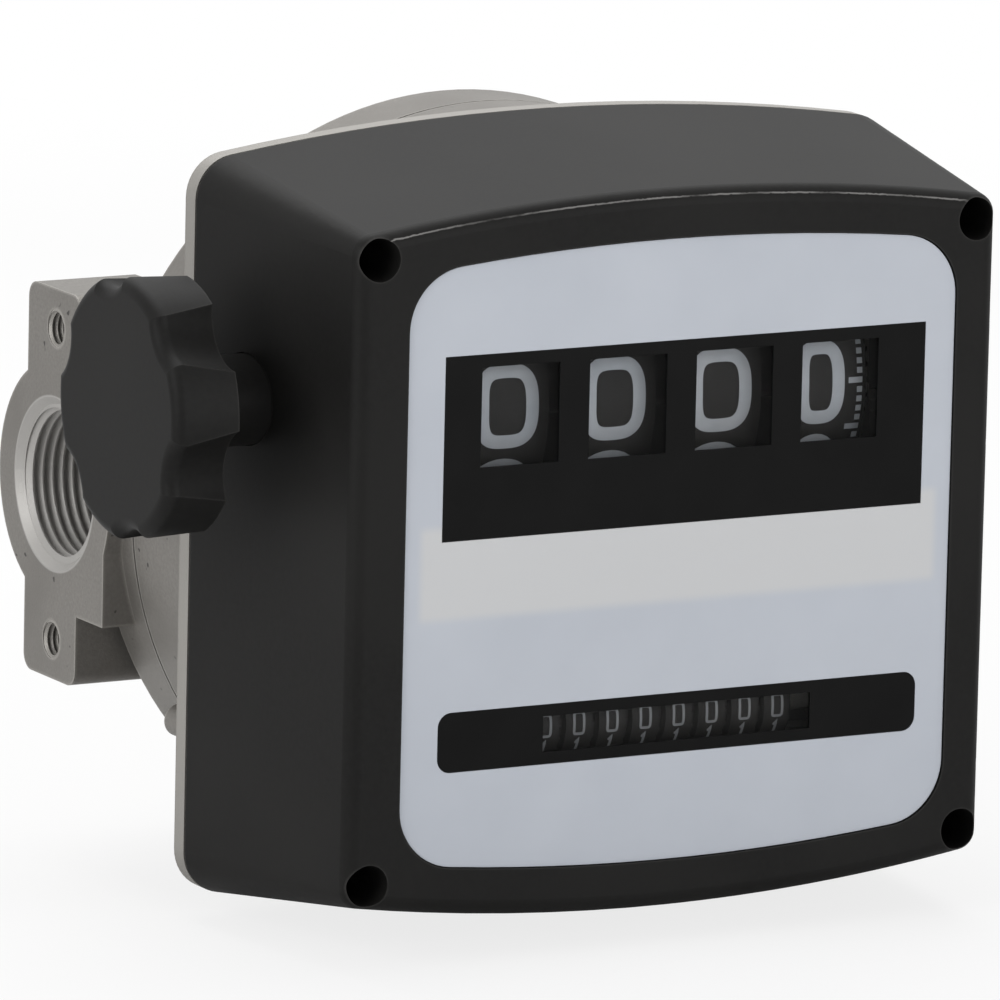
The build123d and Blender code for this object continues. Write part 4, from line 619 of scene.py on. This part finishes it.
def small_numerals(materials):
    """Numerals on the totalizer wheels, which turn the other way."""
    pitch = middle_x("totalizer_wheel_2") - middle_x("totalizer_wheel_3")
    for place in range(SMALL_COUNT):
        number = place + 1
        ink = DrumInk(*drum_facts("totalizer_wheel_3"))
        centre = middle_x("totalizer_wheel_2") + (1 - place) * pitch
        for digit in range(DIGITS_PER_TURN):
            angle = -2 * pi * digit / DIGITS_PER_TURN
            ink.numeral(digit, SMALL_DIGIT, centre, SMALL_DIGIT_RISE, angle)
        mesh_piece("totalizer_numerals_%d" % number, ink.points, ink.faces, "totalizer_%d" % number,
                   materials["small_ink"])


def thread(name, mouth, side, z, form, material):
    """Internal thread along X as a closed ridge, cut off flat where it starts.

    The side is 1 where the bore goes inwards along +X, and -1 where it goes along -X.
    """
    start, pitch, segments = form["start"], form["pitch"], form["segments"]
    root_r, crest_r = form["root_r"], form["crest_r"]
    half = pitch * THREAD_BASE_SHARE
    flat = half * THREAD_FLAT_SHARE
    steps = int((form["end"] - start) / pitch * segments)
    points, faces = [], []
    for k in range(steps + 1):
        angle = 2 * pi * k / segments
        centre = start - half + pitch * (k + 1) / segments
        fade = min(1.0, (steps - k) / (segments * THREAD_FADE_TURN))
        offset = start - centre - THREAD_SLIVER
        for wanted in (-half, -flat, flat, half):
            offset = max(wanted, offset + THREAD_SLIVER)
            height = min(1.0, max(0.0, (half - abs(offset)) / (half - flat)))
            at_root = abs(wanted) == half
            r = root_r + INK_DEPTH if at_root else root_r + (crest_r - root_r) * height * fade
            points.append((mouth + side * (centre + offset), r * cos(angle), z + r * sin(angle)))
    for k in range(steps):
        for j in range(4):
            m = (j + 1) % 4
            faces.append((4 * k + j, 4 * k + m, 4 * k + 4 + m, 4 * k + 4 + j))
    faces.append((3, 2, 1, 0))
    faces.append((4 * steps, 4 * steps + 1, 4 * steps + 2, 4 * steps + 3))
    mesh_piece(name, points, faces, HOUSING, material)


def threads(materials):
    """Pipe threads in both ports and screw threads in the four flange holes."""
    low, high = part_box("rear_housing")
    metal = materials["cast_aluminium"]
    for label, mouth, side in (("inlet", low[0], 1), ("outlet", high[0], -1)):
        thread(label + "_pipe_thread", mouth, side, 0.0, PIPE_THREAD, metal)
        for word, z in (("upper", FLANGE_HOLE_Z), ("lower", -FLANGE_HOLE_Z)):
            thread("%s_%s_screw_thread" % (label, word), mouth, side, z, SCREW_THREAD, metal)


def add_floor():
    """Plain pale floor under the meter, shown near white to the camera."""
    bpy.ops.mesh.primitive_plane_add(size=FLOOR_SIZE, location=(0, 0, cad_box[0][2]))
    floor = bpy.context.object
    floor.name = "floor"
    material, tree, shader = node_material("floor_paper")
    shader.inputs["Base Color"].default_value = FLOOR_COLOUR
    shader.inputs["Roughness"].default_value = FLOOR_ROUGHNESS
    shader.inputs["Specular IOR Level"].default_value = 0.0
    glow = tree.nodes.new("ShaderNodeEmission")
    glow.inputs["Color"].default_value = WHITE
    place = tree.nodes.new("ShaderNodeTexCoord")
    away = tree.nodes.new("ShaderNodeVectorMath")
    away.operation = "LENGTH"
    tree.links.new(place.outputs["Object"], away.inputs[0])
    glowing = tree.nodes.new("ShaderNodeMath")
    glowing.operation = "MAXIMUM"
    glowing.inputs[1].default_value = FLOOR_GLOW
    tree.links.new(clamped_step(tree, away.outputs["Value"], FLOOR_NEAR, FLOOR_FAR), glowing.inputs[0])
    path = tree.nodes.new("ShaderNodeLightPath")
    share = product(tree, (path.outputs["Is Camera Ray"], glowing.outputs["Value"]))
    shader_mix(tree, share, shader.outputs["BSDF"], glow.outputs["Emission"], "Material Output")
    floor.data.materials.append(material)


def add_world():
    """White to the camera, glossy and transmission rays, a plain soft light to all others."""
    world = bpy.data.worlds.new("studio")
    bpy.context.scene.world = world
    world.use_nodes = True
    tree = world.node_tree
    light = tree.nodes["Background"]
    light.inputs["Color"].default_value = WHITE
    light.inputs["Strength"].default_value = WORLD_LIGHT
    white = tree.nodes.new("ShaderNodeBackground")
    white.inputs["Strength"].default_value = 1.0
    white.inputs["Color"].default_value = WHITE
    path = tree.nodes.new("ShaderNodeLightPath")
    seen = path.outputs["Is Camera Ray"]
    for ray in ("Is Glossy Ray", "Is Transmission Ray"):
        either = tree.nodes.new("ShaderNodeMath")
        either.operation = "MAXIMUM"
        tree.links.new(seen, either.inputs[0])
        tree.links.new(path.outputs[ray], either.inputs[1])
        seen = either.outputs["Value"]
    shader_mix(tree, seen, light.outputs["Background"], white.outputs["Background"], "World Output")


def add_lamps():
    """Soft square boxes above, at the left and in front, turned to the meter's middle."""
    for name, offset, size, power in LAMPS:
        data = bpy.data.lights.new(name, "AREA")
        data.size = size
        data.energy = power
        lamp = bpy.data.objects.new(name, data)
        lamp.location = METER_MIDDLE + Vector(offset)
        lamp.rotation_euler = (METER_MIDDLE - lamp.location).to_track_quat("-Z", "Y").to_euler()
        bpy.context.scene.collection.objects.link(lamp)


def add_camera():
    """The camera that was fitted to the photograph."""
    a, e, roll = CAMERA_AZIMUTH, CAMERA_ELEVATION, CAMERA_ROLL
    back = Vector((sin(a) * cos(e), -cos(a) * cos(e), sin(e)))
    right = (-back).cross(Vector((0, 0, 1))).normalized()
    up = right.cross(-back)
    turned_right = cos(roll) * right + sin(roll) * up
    turned_up = cos(roll) * up - sin(roll) * right
    data = bpy.data.cameras.new("camera")
    data.lens = CAMERA_LENS
    data.sensor_width = SENSOR_WIDTH
    data.clip_end = CAMERA_FAR
    camera = bpy.data.objects.new("camera", data)
    turn = Matrix((turned_right, turned_up, back)).transposed().to_4x4()
    camera.matrix_world = Matrix.Translation(CAMERA_PLACE) @ turn
    bpy.context.scene.collection.objects.link(camera)
    bpy.context.scene.camera = camera


materials = make_materials()
dress_nodes(materials)
large_numerals(materials)
small_numerals(materials)
threads(materials)
add_floor()
add_world()
add_lamps()
add_camera()
bpy.context.scene.view_settings.view_transform = "Standard"
